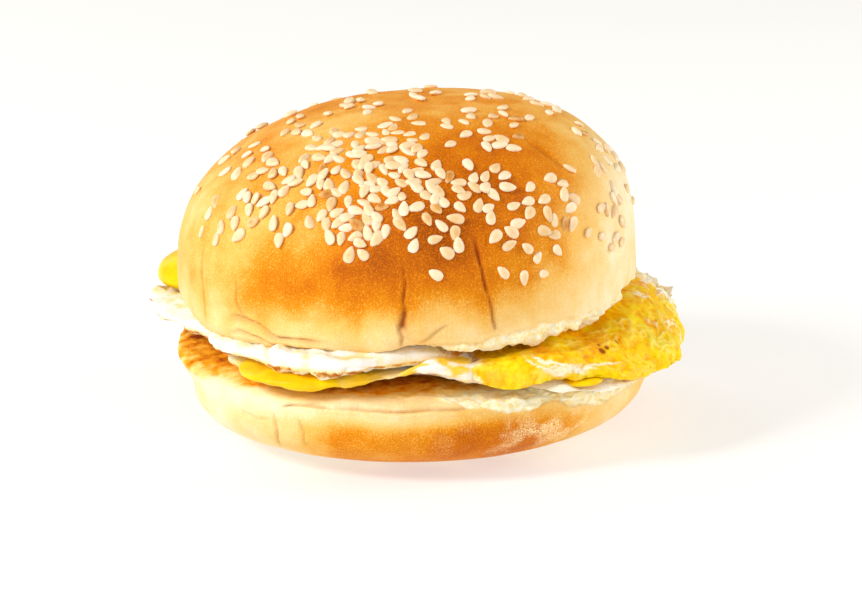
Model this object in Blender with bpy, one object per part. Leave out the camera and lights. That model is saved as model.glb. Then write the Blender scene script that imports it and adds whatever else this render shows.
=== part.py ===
"""Breakfast sandwich: a sesame bun with two fried eggs, one of them with its yolk broken and fried in.

The script's own units are millimetres, turned to metres when a mesh is made. +Z is up, the front of
the sandwich faces -Y, and the origin is the centre of the flat spot it rests on. Angles go
anticlockwise from +X, seen from above.
"""

import math
import random

import bmesh
import bpy
from mathutils import Matrix, Vector

MM = 0.001
GAP = 0.3  # clear space between two pieces that touch
HALF_TURN = math.pi
SLIT_HALF_WIDTH = 1.9  # degrees; how far the sides of a slit in the crust stand apart, halved

# Heel, the lower half of the bun
HEEL_RADIUS = 50.6
HEEL_HEIGHT = 18.3
HEEL_WIDEST = 13.4  # height of its widest ring
HEEL_BELLY = 14.6  # how far the rounded lower half would reach down, before it is pressed flat
HEEL_BELLY_POWER = 2.7
HEEL_LIP_POWER = 6.0
LIP_FOLD = {"from": -118, "to": -66, "height": 16.3, "width": 0.8, "depth": 1.5}
# The left side draws in below the lip: angle, spread in degrees, depth, and the heights it comes and goes at
HEEL_TUCK = {"around": 180, "spread": 26, "depth": 5.2, "foot": (1.5, 7.5), "lip": (12.0, 18.0)}
HEEL_SLITS = ((-124, 8.0, 6.0, 0.9), (-113, 7.0, 5.0, 0.8), (-40, 12.0, 3.5, 0.8))

# Crown, the upper half, in its own frame: the centre of its cut face is at the origin
CROWN_RADIUS = 48.3
CROWN_HEIGHT = 41.0
CROWN_WIDEST = 9.0
CROWN_DOME_POWER = 2.42
CROWN_LEAN = 0.3  # the dome is fuller on the right than on the left by this much of its power
CROWN_RIM_POWER = 9.0
CROWN_SEAT = 28.3  # height of the cut face's centre above the table
CROWN_TILT = math.radians(3.1)  # the right side is higher
CROWN_SLITS = ((-148, 14.0, 12.0, 0.8), (-134, 8.0, 6.0, 0.9), (-90, 8.5, 7.0, 1.3), (-71, 11.0, 9.0, 1.6))
CRUMB_HANG = {"from": -88, "to": -20, "inner": 37.0, "outer": 46.0, "drop": 3.4}  # torn crumb at the rim

# Upper egg: its white, and a whole yolk that bulges out at the left
UPPER_CENTRE = (-8.0, 2.0)
UPPER_RADII = (34, 36, 40, 44, 46, 49, 48, 39.5, 48, 50, 36, 33)  # every 30 degrees
UPPER_EDGE_POWER = 4.0
UPPER_FRILL = 0.7
YOLK_CENTRE = (-45.0, 19.0)
YOLK_RADIUS = 10.2
YOLK_FOOT = 23.2
YOLK_TOP = 32.4
YOLK_WIDEST = 26.5

# Lower egg: a wide thin white, a lobe of yolk at the front left, and the broken yolk on the right
LOWER_CENTRE = (8.0, -2.0)
LOWER_RADII = (50.3, 54.0, 50.5, 47, 45, 43, 42, 50, 50.5, 45.5, 47.5, 52)
LOWER_EDGE_POWER = 3.4
LOWER_FRILL = 0.6
WHITE_UNDER_YOLK = 2.3  # how thick the white is below the broken yolk
EGG_MEETING = 23.7  # height where the two eggs meet, at the middle
EGG_MEETING_SLOPE = 0.045
EDGE_DROOP = 2.8  # how far the lower egg sags where it reaches past the heel
DROOP_FROM, DROOP_TO = 49.5, 59.0
CAVE = {"x": 1.0, "y": -47.0, "wide": 8.5, "deep": 15.0, "rise": 4.2}  # the dark gap at the front
BROKEN_YOLK_FOLD = 13.5  # the broken yolk lies to the right of this
BROKEN_YOLK_CENTRE = (33.0, -6.0)
BROKEN_YOLK_POWER = 2.4
YOLK_LOBE = {"x": -19.5, "y": -36.5, "long": 14.5, "wide": 11.2, "low": 18.75, "high": 22.75}
YOLK_BEAD = {"x": 34.3, "y": -38.2, "long": 5.0, "wide": 4.2, "low": 18.6, "high": 20.2}

# Sesame seeds
SEED_LENGTH = 3.3
SEED_WIDTH = 2.05
SEED_RISE = 0.72
SEED_SINK = 0.35
SEED_SPACING = 2.2
SEED_DRAW = 11
# Where they fell: direction and height angle from the dome's centre, spread across and up in mm, how many
SEED_PATCHES = (
    (-169, 31, 2.2, 6.4, 5),
    (-157, 52, 5.0, 3.4, 8),
    (-148, 17, 2.0, 3.4, 7),
    (-147, 33, 4.4, 3.1, 8),
    (-134, 21, 3.3, 2.7, 11),
    (-134, 72, 9.0, 3.5, 7),
    (-125, 31, 3.8, 2.6, 7),
    (-118, 45, 4.4, 4.0, 10),
    (-117, 16, 3.9, 1.8, 4),
    (-116, 25, 3.0, 2.2, 4),
    (-106, 31, 3.4, 3.5, 16),
    (-100, 19, 4.2, 2.8, 13),
    (-95, 46, 3.9, 3.9, 13),
    (-87, 30, 4.0, 3.4, 14),
    (-81, 17, 3.6, 2.6, 10),
    (-75, 54, 3.8, 5.4, 8),
    (-69, 24, 3.6, 4.2, 12),
    (-58, 3, 2.6, 1.5, 2),
    (-52, 14, 5.2, 4.7, 17),
    (-50, 42, 5.0, 3.7, 13),
    (-32, 51, 4.4, 3.9, 5),
    (-29, 11, 3.0, 3.0, 9),
    (-22, 20, 3.8, 2.8, 9),
    (-7, 23, 3.8, 4.0, 12),
    (4, 41, 3.0, 4.6, 6),
    (11, 63, 5.0, 3.2, 5),
    (18, 76, 8.0, 2.5, 4),
    (90, 50, 13.0, 9.0, 9),
    (35, 36, 8.0, 7.0, 5),
    (150, 40, 11.0, 8.0, 7),
)

COLOURS = {
    "golden crust": (0.60, 0.27, 0.065, 1.0),
    "pale crust": (0.74, 0.47, 0.20, 1.0),
    "egg white": (0.90, 0.87, 0.78, 1.0),
    "egg yolk": (0.93, 0.60, 0.03, 1.0),
    "fried yolk": (0.88, 0.55, 0.03, 1.0),
}


def clear_scene():
    for thing in list(bpy.data.objects):
        bpy.data.objects.remove(thing, do_unlink=True)


def food_material(name, roughness):
    material = bpy.data.materials.new(name)
    material.use_nodes = True
    shader = material.node_tree.nodes["Principled BSDF"]
    shader.inputs["Base Color"].default_value = COLOURS[name]
    shader.inputs["Roughness"].default_value = roughness
    shader.inputs["Metallic"].default_value = 0.0
    material.diffuse_color = COLOURS[name]
    return material


def new_collection(name):
    collection = bpy.data.collections.new(name)
    bpy.context.scene.collection.children.link(collection)
    return collection


# Shaping functions


def ease(low, high, value):
    """0 below low, 1 above high, and smooth between."""
    share = min(1.0, max(0.0, (value - low) / (high - low)))
    return share * share * (3 - 2 * share)


def hump(value, width):
    return math.exp(-((value / width) ** 2))


def signed_power(value, power):
    return math.copysign(abs(value) ** power, value)


def angle_between(a, b):
    """The turn from b to a, in degrees, from -180 to 180."""
    return (math.degrees(a) - b + 180) % 360 - 180


def outline(radii, angle):
    """A closed smooth curve through radii that stand at equal angles, by Catmull-Rom."""
    count = len(radii)
    place = (angle / (2 * HALF_TURN)) % 1.0 * count
    first = int(place) % count
    t = place - int(place)
    a, b, c, d = (radii[(first + k - 1) % count] for k in range(4))
    return 0.5 * (2 * b + (c - a) * t + (2 * a - 5 * b + 4 * c - d) * t**2 + (3 * b - a - 3 * c + d) * t**3)


def frill(angle, size):
    """The uneven ruffle of a fried edge."""
    waves = math.sin(7 * angle + 0.6) + 0.7 * math.sin(11 * angle + 2.1) + 0.5 * math.sin(17 * angle + 4.0)
    return size * waves


def crumb_hang(x, y):
    """How far the torn crumb hangs below the crown's cut face, at the front right of its rim."""
    hang = CRUMB_HANG
    around = angle_between(math.atan2(y, x), 0)
    along = ease(hang["from"], hang["from"] + 16, around) * ease(hang["to"], hang["to"] - 16, around)
    return hang["drop"] * along * ease(hang["inner"], hang["outer"], math.hypot(x, y))


def crown_seat(x, y):
    """Height of the crown's underside above the table."""
    return CROWN_SEAT + x * math.tan(CROWN_TILT) - crumb_hang(x, y)


def egg_meeting(x):
    return EGG_MEETING + EGG_MEETING_SLOPE * x


def upper_share(x, y):
    """0 at the upper egg's centre and 1 at its edge."""
    dx, dy = x - UPPER_CENTRE[0], y - UPPER_CENTRE[1]
    return math.hypot(dx, dy) / outline(UPPER_RADII, math.atan2(dy, dx))


def droop(x, y):
    return EDGE_DROOP * ease(DROOP_FROM, DROOP_TO, math.hypot(x, y))


def lower_top(x, y):
    """The lower egg's top: it meets the upper egg, and rises to the crown where there is none."""
    covered = egg_meeting(x) - GAP / 2
    bare = crown_seat(x, y) - GAP
    return covered + (bare - covered) * ease(1.04, 1.2, upper_share(x, y)) - droop(x, y)


def lower_bottom(x, y):
    rise = CAVE["rise"] * hump(x - CAVE["x"], CAVE["wide"]) * ease(CAVE["y"] + CAVE["deep"], CAVE["y"], y)
    return HEEL_HEIGHT + GAP + rise - droop(x, y)


# Making solids


def column_angles(columns, slits):
    """Angles for a sphere's columns: three at each slit, the rest spread evenly between the slits."""
    half = math.radians(SLIT_HALF_WIDTH)
    if not slits:
        return [2 * HALF_TURN * k / columns for k in range(columns)]
    middles = sorted(math.radians(slit[0]) % (2 * HALF_TURN) for slit in slits)
    spans = []
    for k, middle in enumerate(middles):
        following = middles[(k + 1) % len(middles)] + (2 * HALF_TURN if k + 1 == len(middles) else 0)
        spans.append((middle + half, following - half))
    free = columns - 3 * len(middles)
    total = sum(end - start for start, end in spans)
    angles = []
    used, wanted = 0, 0.0
    for middle, (start, end) in zip(middles, spans):
        wanted += free * (end - start) / total
        inside = round(wanted) - used
        used += inside
        angles += [middle - half, middle]
        angles += [start + (end - start) * k / (inside + 1) for k in range(inside + 1)]
    return angles


def rounded_solid(name, columns, rings, place, material, collection, slits=()):
    """A sphere whose points are moved by place(angle around, angle above the middle)."""
    angles = column_angles(columns, slits)
    sphere = bmesh.new()
    bmesh.ops.create_uvsphere(sphere, u_segments=columns, v_segments=rings, radius=1.0)
    for point in sphere.verts:
        column = round(math.atan2(point.co.y, point.co.x) / (2 * HALF_TURN) * columns) % columns
        above = math.asin(max(-1.0, min(1.0, point.co.z)))
        point.co = place(angles[column], above) * MM
    mesh = bpy.data.meshes.new(name)
    sphere.to_mesh(mesh)
    sphere.free()
    mesh.materials.append(material)
    mesh.shade_smooth()
    solid = bpy.data.objects.new(name, mesh)
    collection.objects.link(solid)
    return solid


def slab_point(centre, radius, around, above, power, bottom, top, widest=0.5):
    """A point on a slab with a rounded edge, whose two faces follow the functions bottom and top."""
    out = min(1.0, abs(math.cos(above)))
    up = math.copysign((1 - out**power) ** (1 / power), above)
    x = centre[0] + radius * out * math.cos(around)
    y = centre[1] + radius * out * math.sin(around)
    low, high = bottom(x, y), top(x, y)
    middle = low + (high - low) * widest
    return Vector((x, y, middle + up * ((high - middle) if up > 0 else (middle - low))))


def join_or_cut(solid, operation, other=None, group=None, solver="MANIFOLD"):
    """Applies one Boolean and removes what it used."""
    modifier = solid.modifiers.new(operation.lower(), "BOOLEAN")
    modifier.operation = operation
    modifier.solver = solver
    if group:
        modifier.operand_type = "COLLECTION"
        modifier.collection = group
    else:
        modifier.object = other
    bpy.context.view_layer.update()
    evaluated = solid.evaluated_get(bpy.context.evaluated_depsgraph_get())
    result = bpy.data.meshes.new_from_object(evaluated)
    solid.modifiers.clear()
    solid.data = result
    for used in list(group.objects) if group else [other]:
        bpy.data.objects.remove(used, do_unlink=True)


def weld(solid, distance):
    """Merges points that a cut has left closer together than this."""
    shape = bmesh.new()
    shape.from_mesh(solid.data)
    bmesh.ops.remove_doubles(shape, verts=shape.verts, dist=distance * MM)
    bmesh.ops.dissolve_degenerate(shape, edges=shape.edges, dist=distance * MM / 10)
    shape.to_mesh(solid.data)
    shape.free()


# The heel


def heel_point(around, above):
    degrees = angle_between(around, 0)
    power = HEEL_LIP_POWER if above > 0 else HEEL_BELLY_POWER
    out = abs(math.cos(above)) ** (2 / power)
    up = signed_power(math.sin(above), 2 / power)
    height = HEEL_WIDEST + up * (HEEL_HEIGHT - HEEL_WIDEST if above > 0 else HEEL_BELLY)
    wobble = 0.6 * math.cos(2 * around + 0.5) + 0.4 * math.cos(3 * around - 1.0)
    radius = HEEL_RADIUS + wobble
    fold = LIP_FOLD
    along = ease(fold["from"] - 6, fold["from"] + 6, degrees) * ease(fold["to"] + 6, fold["to"] - 6, degrees)
    radius -= fold["depth"] * along * hump(height - fold["height"], fold["width"])
    tuck = HEEL_TUCK
    level = ease(*tuck["foot"], height) * (1 - ease(*tuck["lip"], height))
    radius -= tuck["depth"] * hump(angle_between(around, tuck["around"]), tuck["spread"]) * level
    for centre, middle, reach, depth in HEEL_SLITS:
        radius -= depth * hump(angle_between(around, centre), 1.2) * hump(height - middle, reach)
    return Vector((radius * out * math.cos(around), radius * out * math.sin(around), max(height, 0.0)))


def make_heel(crust, collection):
    return rounded_solid("bottom_bun", 54, 14, heel_point, crust, collection, HEEL_SLITS)


# The crown and its seeds


def dome_power(around):
    return CROWN_DOME_POWER + CROWN_LEAN * math.cos(around)


def crown_radius(around):
    return CROWN_RADIUS + 0.35 * math.cos(2 * around + 0.6) + 0.3 * math.cos(3 * around - 1.0)


def crown_point(around, above):
    power = dome_power(around) if above > 0 else CROWN_RIM_POWER
    out = abs(math.cos(above)) ** (2 / power)
    up = signed_power(math.sin(above), 2 / power)
    height = CROWN_WIDEST + up * (CROWN_HEIGHT - CROWN_WIDEST if above > 0 else CROWN_WIDEST)
    radius = crown_radius(around)
    for centre, middle, reach, depth in CROWN_SLITS:
        radius -= depth * hump(angle_between(around, centre), 1.2) * hump(height - middle, reach)
    x, y = radius * out * math.cos(around), radius * out * math.sin(around)
    if above < 0:
        height -= crumb_hang(x, y) * ease(CROWN_WIDEST, 0.0, height)
    return Vector((x, y, height))


def on_dome(around, raised):
    """The dome's surface and outward direction, seen from its centre in a direction."""
    flat, up = math.cos(raised), math.sin(raised)
    power = dome_power(around)
    across = crown_radius(around)
    tall = CROWN_HEIGHT - CROWN_WIDEST
    reach = ((flat / across) ** power + (up / tall) ** power) ** (-1 / power)
    out, rise = reach * flat, reach * up
    normal = Vector((math.cos(around), math.sin(around), 0.0)) * (out / across) ** (power - 1) / across
    normal.z = (rise / tall) ** (power - 1) / tall
    place = Vector((out * math.cos(around), out * math.sin(around), CROWN_WIDEST + rise))
    return place, normal.normalized()


def scatter_seeds():
    """Places, outward directions, turns and sizes of the seeds, thickest in the patches' middles."""
    draw = random.Random(SEED_DRAW)
    seeds = []
    for bearing, raised, across, upward, count in SEED_PATCHES:
        left, tries = count, count * 40
        while left and tries:
            tries -= 1
            sideways = draw.gauss(0, across)
            share = math.radians(raised) + draw.gauss(0, upward) / 44
            around = math.radians(bearing) + sideways / (46 * max(0.25, math.cos(share)))
            turn = draw.uniform(0, 2 * HALF_TURN)
            size = draw.uniform(0.88, 1.08)
            if not 0.03 < share < 1.5:
                continue
            place, normal = on_dome(around, share)
            if any((place - other[0]).length < SEED_SPACING for other in seeds):
                continue
            if any(
                abs(angle_between(around, slit[0])) < 3.6 and abs(place.z - slit[1]) < slit[2] * 1.6
                for slit in CROWN_SLITS
            ):
                continue
            seeds.append((place, normal, turn, size))
            left -= 1
    return seeds


def seed_mesh():
    """A flat teardrop with five sides."""
    cone = bmesh.new()
    depth = SEED_RISE + SEED_SINK
    bmesh.ops.create_cone(cone, cap_ends=True, segments=5, radius1=1.0, radius2=0.72, depth=depth)
    for point in cone.verts:
        along = point.co.x
        narrowing = 1 - 0.22 * along
        point.co.x = along * SEED_LENGTH / 2
        point.co.y *= narrowing * SEED_WIDTH / 2 * 1.12
        point.co.z += depth / 2 - SEED_SINK
        point.co *= MM
    mesh = bpy.data.meshes.new("sesame")
    cone.to_mesh(mesh)
    cone.free()
    return mesh


def make_crown(crust, collection):
    crown = rounded_solid("top_bun", 52, 18, crown_point, crust, collection, CROWN_SLITS)
    loose = new_collection("sesame")
    shape = seed_mesh()
    centre = Vector((0.0, 0.0, CROWN_WIDEST))
    bpy.context.view_layer.update()
    for place, normal, turn, size in scatter_seeds():
        place = crown.ray_cast(centre * MM, (place - centre).normalized())[1] / MM
        seed = bpy.data.objects.new("seed", shape)
        facing = normal.to_track_quat("Z", "Y").to_matrix().to_4x4()
        spin = Matrix.Rotation(turn, 4, "Z")
        seed.matrix_world = Matrix.Translation(place * MM) @ facing @ spin @ Matrix.Diagonal((size,) * 3).to_4x4()
        loose.objects.link(seed)
    bpy.context.view_layer.update()
    join_or_cut(crown, "UNION", group=loose, solver="EXACT")
    bpy.data.collections.remove(loose)
    crown.location = (0.0, 0.0, CROWN_SEAT * MM)
    crown.rotation_euler = (0.0, -CROWN_TILT, 0.0)
    return crown


# The eggs


def yolk_point(around, above, grown=0.0):
    """A whole yolk: a low dome on a smaller foot."""
    radius = (YOLK_RADIUS + grown) * (1 + 0.03 * math.cos(2 * around))
    out = abs(math.cos(above)) ** 0.9
    up = signed_power(math.sin(above), 0.9)
    rise = YOLK_TOP - YOLK_WIDEST if up > 0 else YOLK_WIDEST - YOLK_FOOT
    x = YOLK_CENTRE[0] + radius * out * math.cos(around)
    y = YOLK_CENTRE[1] + radius * out * math.sin(around)
    return Vector((x, y, YOLK_WIDEST + up * (rise + grown)))


def make_upper_egg(white, yolk, crown, collection, cutters):
    def place(around, above):
        radius = outline(UPPER_RADII, around) + frill(around, UPPER_FRILL) * max(0.0, math.cos(above))
        return slab_point(
            UPPER_CENTRE,
            radius,
            around,
            above,
            UPPER_EDGE_POWER,
            lambda x, y: egg_meeting(x) + GAP / 2,
            lambda x, y: crown_seat(x, y) - GAP,
        )

    egg = rounded_solid("upper_egg_white", 52, 10, place, white, collection)
    for pressed in (egg, crown):
        room = rounded_solid("yolk_room", 18, 8, lambda a, b: yolk_point(a, b, GAP * 1.2), white, cutters)
        bpy.context.view_layer.update()
        join_or_cut(pressed, "DIFFERENCE", other=room)
    rounded_solid("upper_egg_yolk", 18, 8, yolk_point, yolk, collection)


def lobe_point(lobe, around, above, grown=0.0, taller=0.0):
    """A flattened drop of yolk that shows at the egg's edge."""
    out = abs(math.cos(above)) ** 0.8
    up = signed_power(math.sin(above), 0.8)
    middle = (lobe["low"] + lobe["high"]) / 2
    return Vector(
        (
            lobe["x"] + (lobe["long"] + grown) * out * math.cos(around),
            lobe["y"] + (lobe["wide"] + grown) * out * math.sin(around),
            middle + up * ((lobe["high"] - lobe["low"]) / 2 + taller),
        )
    )


def broken_yolk_radius(around, fold_room=0.0, edge_room=-0.3):
    """From its centre to the egg's outline or to the fold, whichever is nearer, with a soft corner."""
    x, y = math.cos(around), math.sin(around)
    dx, dy = BROKEN_YOLK_CENTRE[0] - LOWER_CENTRE[0], BROKEN_YOLK_CENTRE[1] - LOWER_CENTRE[1]
    reach = 30.0
    for _ in range(12):
        px, py = dx + reach * x, dy + reach * y
        wanted = outline(LOWER_RADII, math.atan2(py, px)) + edge_room
        reach += (wanted - math.hypot(px, py)) * 0.8
    if x > -0.05:
        return reach
    fold = (BROKEN_YOLK_FOLD - fold_room - BROKEN_YOLK_CENTRE[0]) / x
    return (reach**-7 + fold**-7) ** (-1 / 7)


def broken_yolk_point(around, above):
    return slab_point(
        BROKEN_YOLK_CENTRE,
        broken_yolk_radius(around) + frill(around, 0.35) * math.cos(above) * ease(-0.1, 0.5, math.cos(around)),
        around,
        above,
        BROKEN_YOLK_POWER,
        lambda x, y: lower_bottom(x, y) + WHITE_UNDER_YOLK + GAP,
        lambda x, y: lower_top(x, y) - 0.1,
        widest=0.12,
    )


def broken_yolk_room(around, above):
    """The hollow in the white for the broken yolk, open at the egg's edge and on top."""
    return slab_point(
        BROKEN_YOLK_CENTRE,
        broken_yolk_radius(around, 0.7, 8.0),
        around,
        above,
        6.0,
        lambda x, y: lower_bottom(x, y) + WHITE_UNDER_YOLK - 0.05,
        lambda x, y: lower_top(x, y) + 4.0,
        widest=0.06,
    )


def make_lower_egg(white, yolk, fried, collection, cutters):
    def white_point(around, above):
        radius = outline(LOWER_RADII, around) + frill(around + 1.0, LOWER_FRILL) * max(0.0, math.cos(above))
        return slab_point(
            LOWER_CENTRE, radius, around, above, LOWER_EDGE_POWER, lower_bottom, lower_top
        )

    egg = rounded_solid("lower_egg_white", 56, 12, white_point, white, collection)
    room = rounded_solid("broken_yolk_room", 44, 10, broken_yolk_room, white, cutters)
    join_or_cut(egg, "DIFFERENCE", other=room)
    for name, lobe in (("yolk_lobe", YOLK_LOBE), ("yolk_bead", YOLK_BEAD)):
        room = rounded_solid(
            name + "_room", 16, 8, lambda a, b: lobe_point(lobe, a, b, GAP * 1.3, 3.0), white, cutters
        )
        join_or_cut(egg, "DIFFERENCE", other=room)
        rounded_solid("lower_egg_" + name, 16, 8, lambda a, b: lobe_point(lobe, a, b), yolk, collection)
    weld(egg, 0.1)
    rounded_solid("lower_egg_broken_yolk", 44, 12, broken_yolk_point, fried, collection)


def main():
    clear_scene()
    sandwich = new_collection("breakfast sandwich")
    cutters = new_collection("cutters")
    golden = food_material("golden crust", 0.55)
    pale = food_material("pale crust", 0.6)
    white = food_material("egg white", 0.35)
    yolk = food_material("egg yolk", 0.3)
    fried = food_material("fried yolk", 0.4)
    make_heel(pale, sandwich)
    crown = make_crown(golden, sandwich)
    make_upper_egg(white, yolk, crown, sandwich, cutters)
    make_lower_egg(white, yolk, fried, sandwich, cutters)


main()
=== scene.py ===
import math
import random

import bpy
import numpy as np
from mathutils import Matrix, Vector


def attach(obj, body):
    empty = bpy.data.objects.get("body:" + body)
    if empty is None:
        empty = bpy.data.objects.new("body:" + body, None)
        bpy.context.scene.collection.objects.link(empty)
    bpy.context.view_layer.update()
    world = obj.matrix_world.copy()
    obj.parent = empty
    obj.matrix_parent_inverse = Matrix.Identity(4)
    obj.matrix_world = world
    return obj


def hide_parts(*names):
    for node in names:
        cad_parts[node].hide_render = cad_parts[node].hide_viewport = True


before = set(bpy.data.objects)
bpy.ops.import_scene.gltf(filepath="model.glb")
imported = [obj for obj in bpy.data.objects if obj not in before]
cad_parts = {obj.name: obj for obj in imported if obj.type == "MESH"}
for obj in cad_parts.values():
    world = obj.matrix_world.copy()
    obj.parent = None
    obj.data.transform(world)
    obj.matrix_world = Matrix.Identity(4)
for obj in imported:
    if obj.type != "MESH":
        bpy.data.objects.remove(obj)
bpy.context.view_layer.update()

# A breakfast sandwich: a sesame bun, toasted on its cut faces, with two fried eggs.
# Lengths are in millimetres and angles in degrees until a mesh is made. The front faces -Y.

mm = 0.001
gap = 0.3  # between pieces that rest on each other


# Small tools for whole arrays


# smooth step: 0 below low, 1 above high
def ease(low, high, value):
    share = np.clip((value - low) / (high - low), 0.0, 1.0)
    return share * share * (3 - 2 * share)


# bell curve: e to the minus square of value over width
def hump(value, width):
    return np.exp(-((value / width) ** 2))


# soft band: rises from a to b and falls from c to d
def band(a, b, c, d, value):
    return ease(a, b, value) * (1 - ease(c, d, value))


# keeps the sign and raises the size to a power
def signedPower(value, power):
    return np.sign(value) * np.abs(value) ** power


# difference of two angles in degrees, from -180 to 180
def turn(a, b):
    return (a - b + 180.0) % 360.0 - 180.0


# evenly spaced angles around, as one row
def anglesAround(count):
    return np.linspace(-180.0, 180.0, count, endpoint=False)[None, :]


# points of a circle about the upright axis
def ring(degrees, radius):
    a = np.radians(degrees)
    return np.stack((np.cos(a), np.sin(a), 0 * a), axis=-1) * radius


# superellipse: cosine and sine of the height angle, each to the power 2 over n, with n one power above the widest
# ring and another below it
def superellipse(above, overPower, underPower):
    power = np.where(above > 0, overPower, underPower)
    angle = np.radians(above)
    return np.abs(np.cos(angle)) ** (2 / power), signedPower(np.sin(angle), 2 / power)


# a fixed random number from 0 to 1 for each whole-numbered place
def chance(place, seed):
    mixed = place[..., 0] * 73856093 ^ place[..., 1] * 19349663 ^ place[..., 2] * 83492791 ^ seed * 2654435761
    mixed = (mixed ^ mixed >> 13) * 1274126177 & 0x7FFFFFFF
    return ((mixed ^ mixed >> 16) & 0xFFFF) / 65535.0


# value noise: a random height at each corner of cubes of this size in mm, blended smoothly inside them
def lumps(points, size, seed):
    place = points / size + 200.0
    cell = np.floor(place).astype(np.int64)
    share = place - cell
    share = share * share * (3 - 2 * share)
    total = np.zeros(points.shape[:-1])
    for corner in range(8):
        step = np.array([corner & 1, corner >> 1 & 1, corner >> 2 & 1])
        total += np.prod(np.where(step == 1, share, 1 - share), axis=-1) * (chance(cell + step, seed) * 2 - 1)
    return total


# cell pattern: distance in mm to the nearest of points strewn one in each cube, and how much farther the second is
def cellPattern(points, size, seed):
    place = points / size + 200.0
    cell = np.floor(place).astype(np.int64)
    first = np.full(points.shape[:-1], 9.0)
    second = first.copy()
    for corner in range(27):
        at = cell + np.array([corner % 3 - 1, corner // 3 % 3 - 1, corner // 9 - 1])
        spot = at + np.stack([chance(at, seed + k) for k in range(3)], axis=-1)
        distance = np.linalg.norm(place - spot, axis=-1)
        second = np.minimum(second, np.maximum(first, distance))
        first = np.minimum(first, distance)
    return first * size, (second - first) * size


# sum of value noise at this size, half of it, a quarter of it and so on, each half as strong
def roughness(points, size, seed, octaves=3):
    return sum(lumps(points, size / 2**k, seed + k) * 0.5**k for k in range(octaves))


# closed smooth curve through radii at equal angles, by Catmull-Rom
def outline(radii, degrees):
    radii = np.asarray(radii, float)
    count = len(radii)
    place = degrees / 360.0 % 1.0 * count
    first = place.astype(int) % count
    t = place - np.floor(place)
    a, b, c, d = (radii[(first + k) % count] for k in (-1, 0, 1, 2))
    return 0.5 * (2 * b + (c - a) * t + (2 * a - 5 * b + 4 * c - d) * t**2 + (3 * b - a - 3 * c + d) * t**3)


# the ruffle of a fried edge: three sine waves around the outline
def frill(degrees, size):
    a = np.radians(degrees)
    return size * (np.sin(7 * a + 0.6) + 0.7 * np.sin(11 * a + 2.1) + 0.5 * np.sin(17 * a + 4.0))


# height angles whose points stand evenly along a profile; weight says where to spend more of them
def evenRows(profile, rows, weight):
    above = np.linspace(-90.0, 90.0, 8001)
    out, up = profile(above)
    length = np.hypot(np.diff(out), np.diff(up)) * weight(0.5 * (out[1:] + out[:-1]), 0.5 * (up[1:] + up[:-1]))
    run = np.concatenate(([0.0], np.cumsum(length)))
    return np.interp(np.linspace(0.0, run[-1], rows + 1)[1:-1], run, above)


# angles around whose spacing is closer near the given middles
def closerColumns(columns, middles, spread, gain):
    fine = np.linspace(-180.0, 180.0, 14401)
    density = 1.0 + sum(gain * hump(turn(fine, m), spread) for m in middles)
    run = np.concatenate(([0.0], np.cumsum(0.5 * (density[1:] + density[:-1]))))
    return np.interp(np.arange(columns) / columns * run[-1], run, fine)


# outward direction at each grid point: the cross product of the steps around and up
def gridNormals(points):
    aroundStep = np.roll(points, -1, axis=1) - np.roll(points, 1, axis=1)
    upStep = np.gradient(points, axis=0)
    normal = np.cross(aroundStep, upStep)
    return normal / np.maximum(np.linalg.norm(normal, axis=-1, keepdims=True), 1e-9)


# distance in mm from each point of a surface to a path drawn on it, and the share along the path
def pathDistance(degrees, height, radius, path):
    best = np.full(np.broadcast(degrees, height).shape, 1e9)
    along = np.zeros_like(best)
    count = len(path) - 1
    for k in range(count):
        (a0, h0), (a1, h1) = path[k], path[k + 1]
        x = np.radians(turn(degrees, a0)) * radius
        y = height - h0
        dx = math.radians(turn(a1, a0)) * radius
        dy = h1 - h0
        t = np.clip((x * dx + y * dy) / (dx * dx + dy * dy), 0.0, 1.0)
        distance = np.hypot(x - t * dx, y - t * dy)
        nearer = distance < best
        best = np.where(nearer, distance, best)
        along = np.where(nearer, (k + t) / count, along)
    return best, along


# Meshes


# faces of a closed grid, outwards: quads between its rows, and a fan of triangles to each end's own point
def gridFaces(rows, columns):
    first = np.arange(columns)
    after = (first + 1) % columns
    row = np.arange(rows - 1)[:, None] * columns
    quads = np.stack((row + first, row + after, row + columns + after, row + columns + first), axis=-1).reshape(-1, 4)
    low = np.full(columns, rows * columns)
    base = (rows - 1) * columns
    under = np.stack((after, first, low), axis=-1)
    over = np.stack((base + first, base + after, low + 1), axis=-1)
    return quads, under, over


# a closed surface from rows of points around, one point below them and one above
def closedGrid(name, points, bottom, top, material, attributes=None):
    rows, columns = points.shape[:2]
    vertices = np.concatenate((points.reshape(-1, 3), [bottom], [top])) * mm
    values = {}
    for key, value in (attributes or {}).items():
        value = np.broadcast_to(value, (rows, columns))
        values[key] = np.concatenate((value.ravel(), [value[0].mean(), value[-1].mean()]))
    return newPiece(name, vertices, gridFaces(rows, columns), material, values)


# puts arrays of points and faces into a new object
def newPiece(name, vertices, faceArrays, material, attributes=None):
    mesh = bpy.data.meshes.new(name)
    corners = np.concatenate([faces.ravel() for faces in faceArrays])
    sizes = np.concatenate([np.full(len(faces), faces.shape[1]) for faces in faceArrays])
    mesh.vertices.add(len(vertices))
    mesh.vertices.foreach_set("co", np.ascontiguousarray(vertices, np.float32).ravel())
    mesh.loops.add(len(corners))
    mesh.loops.foreach_set("vertex_index", corners.astype(np.int32))
    mesh.polygons.add(len(sizes))
    mesh.polygons.foreach_set("loop_start", np.concatenate(([0], np.cumsum(sizes)[:-1])).astype(np.int32))
    for key, value in (attributes or {}).items():
        layer = mesh.attributes.new(key, "FLOAT", "POINT")
        layer.data.foreach_set("value", np.ascontiguousarray(value, np.float32))
    mesh.update(calc_edges=True)
    mesh.validate()
    mesh.shade_smooth()
    mesh.materials.append(material)
    piece = bpy.data.objects.new(name, mesh)
    bpy.context.scene.collection.objects.link(piece)
    return piece


# Materials


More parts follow.
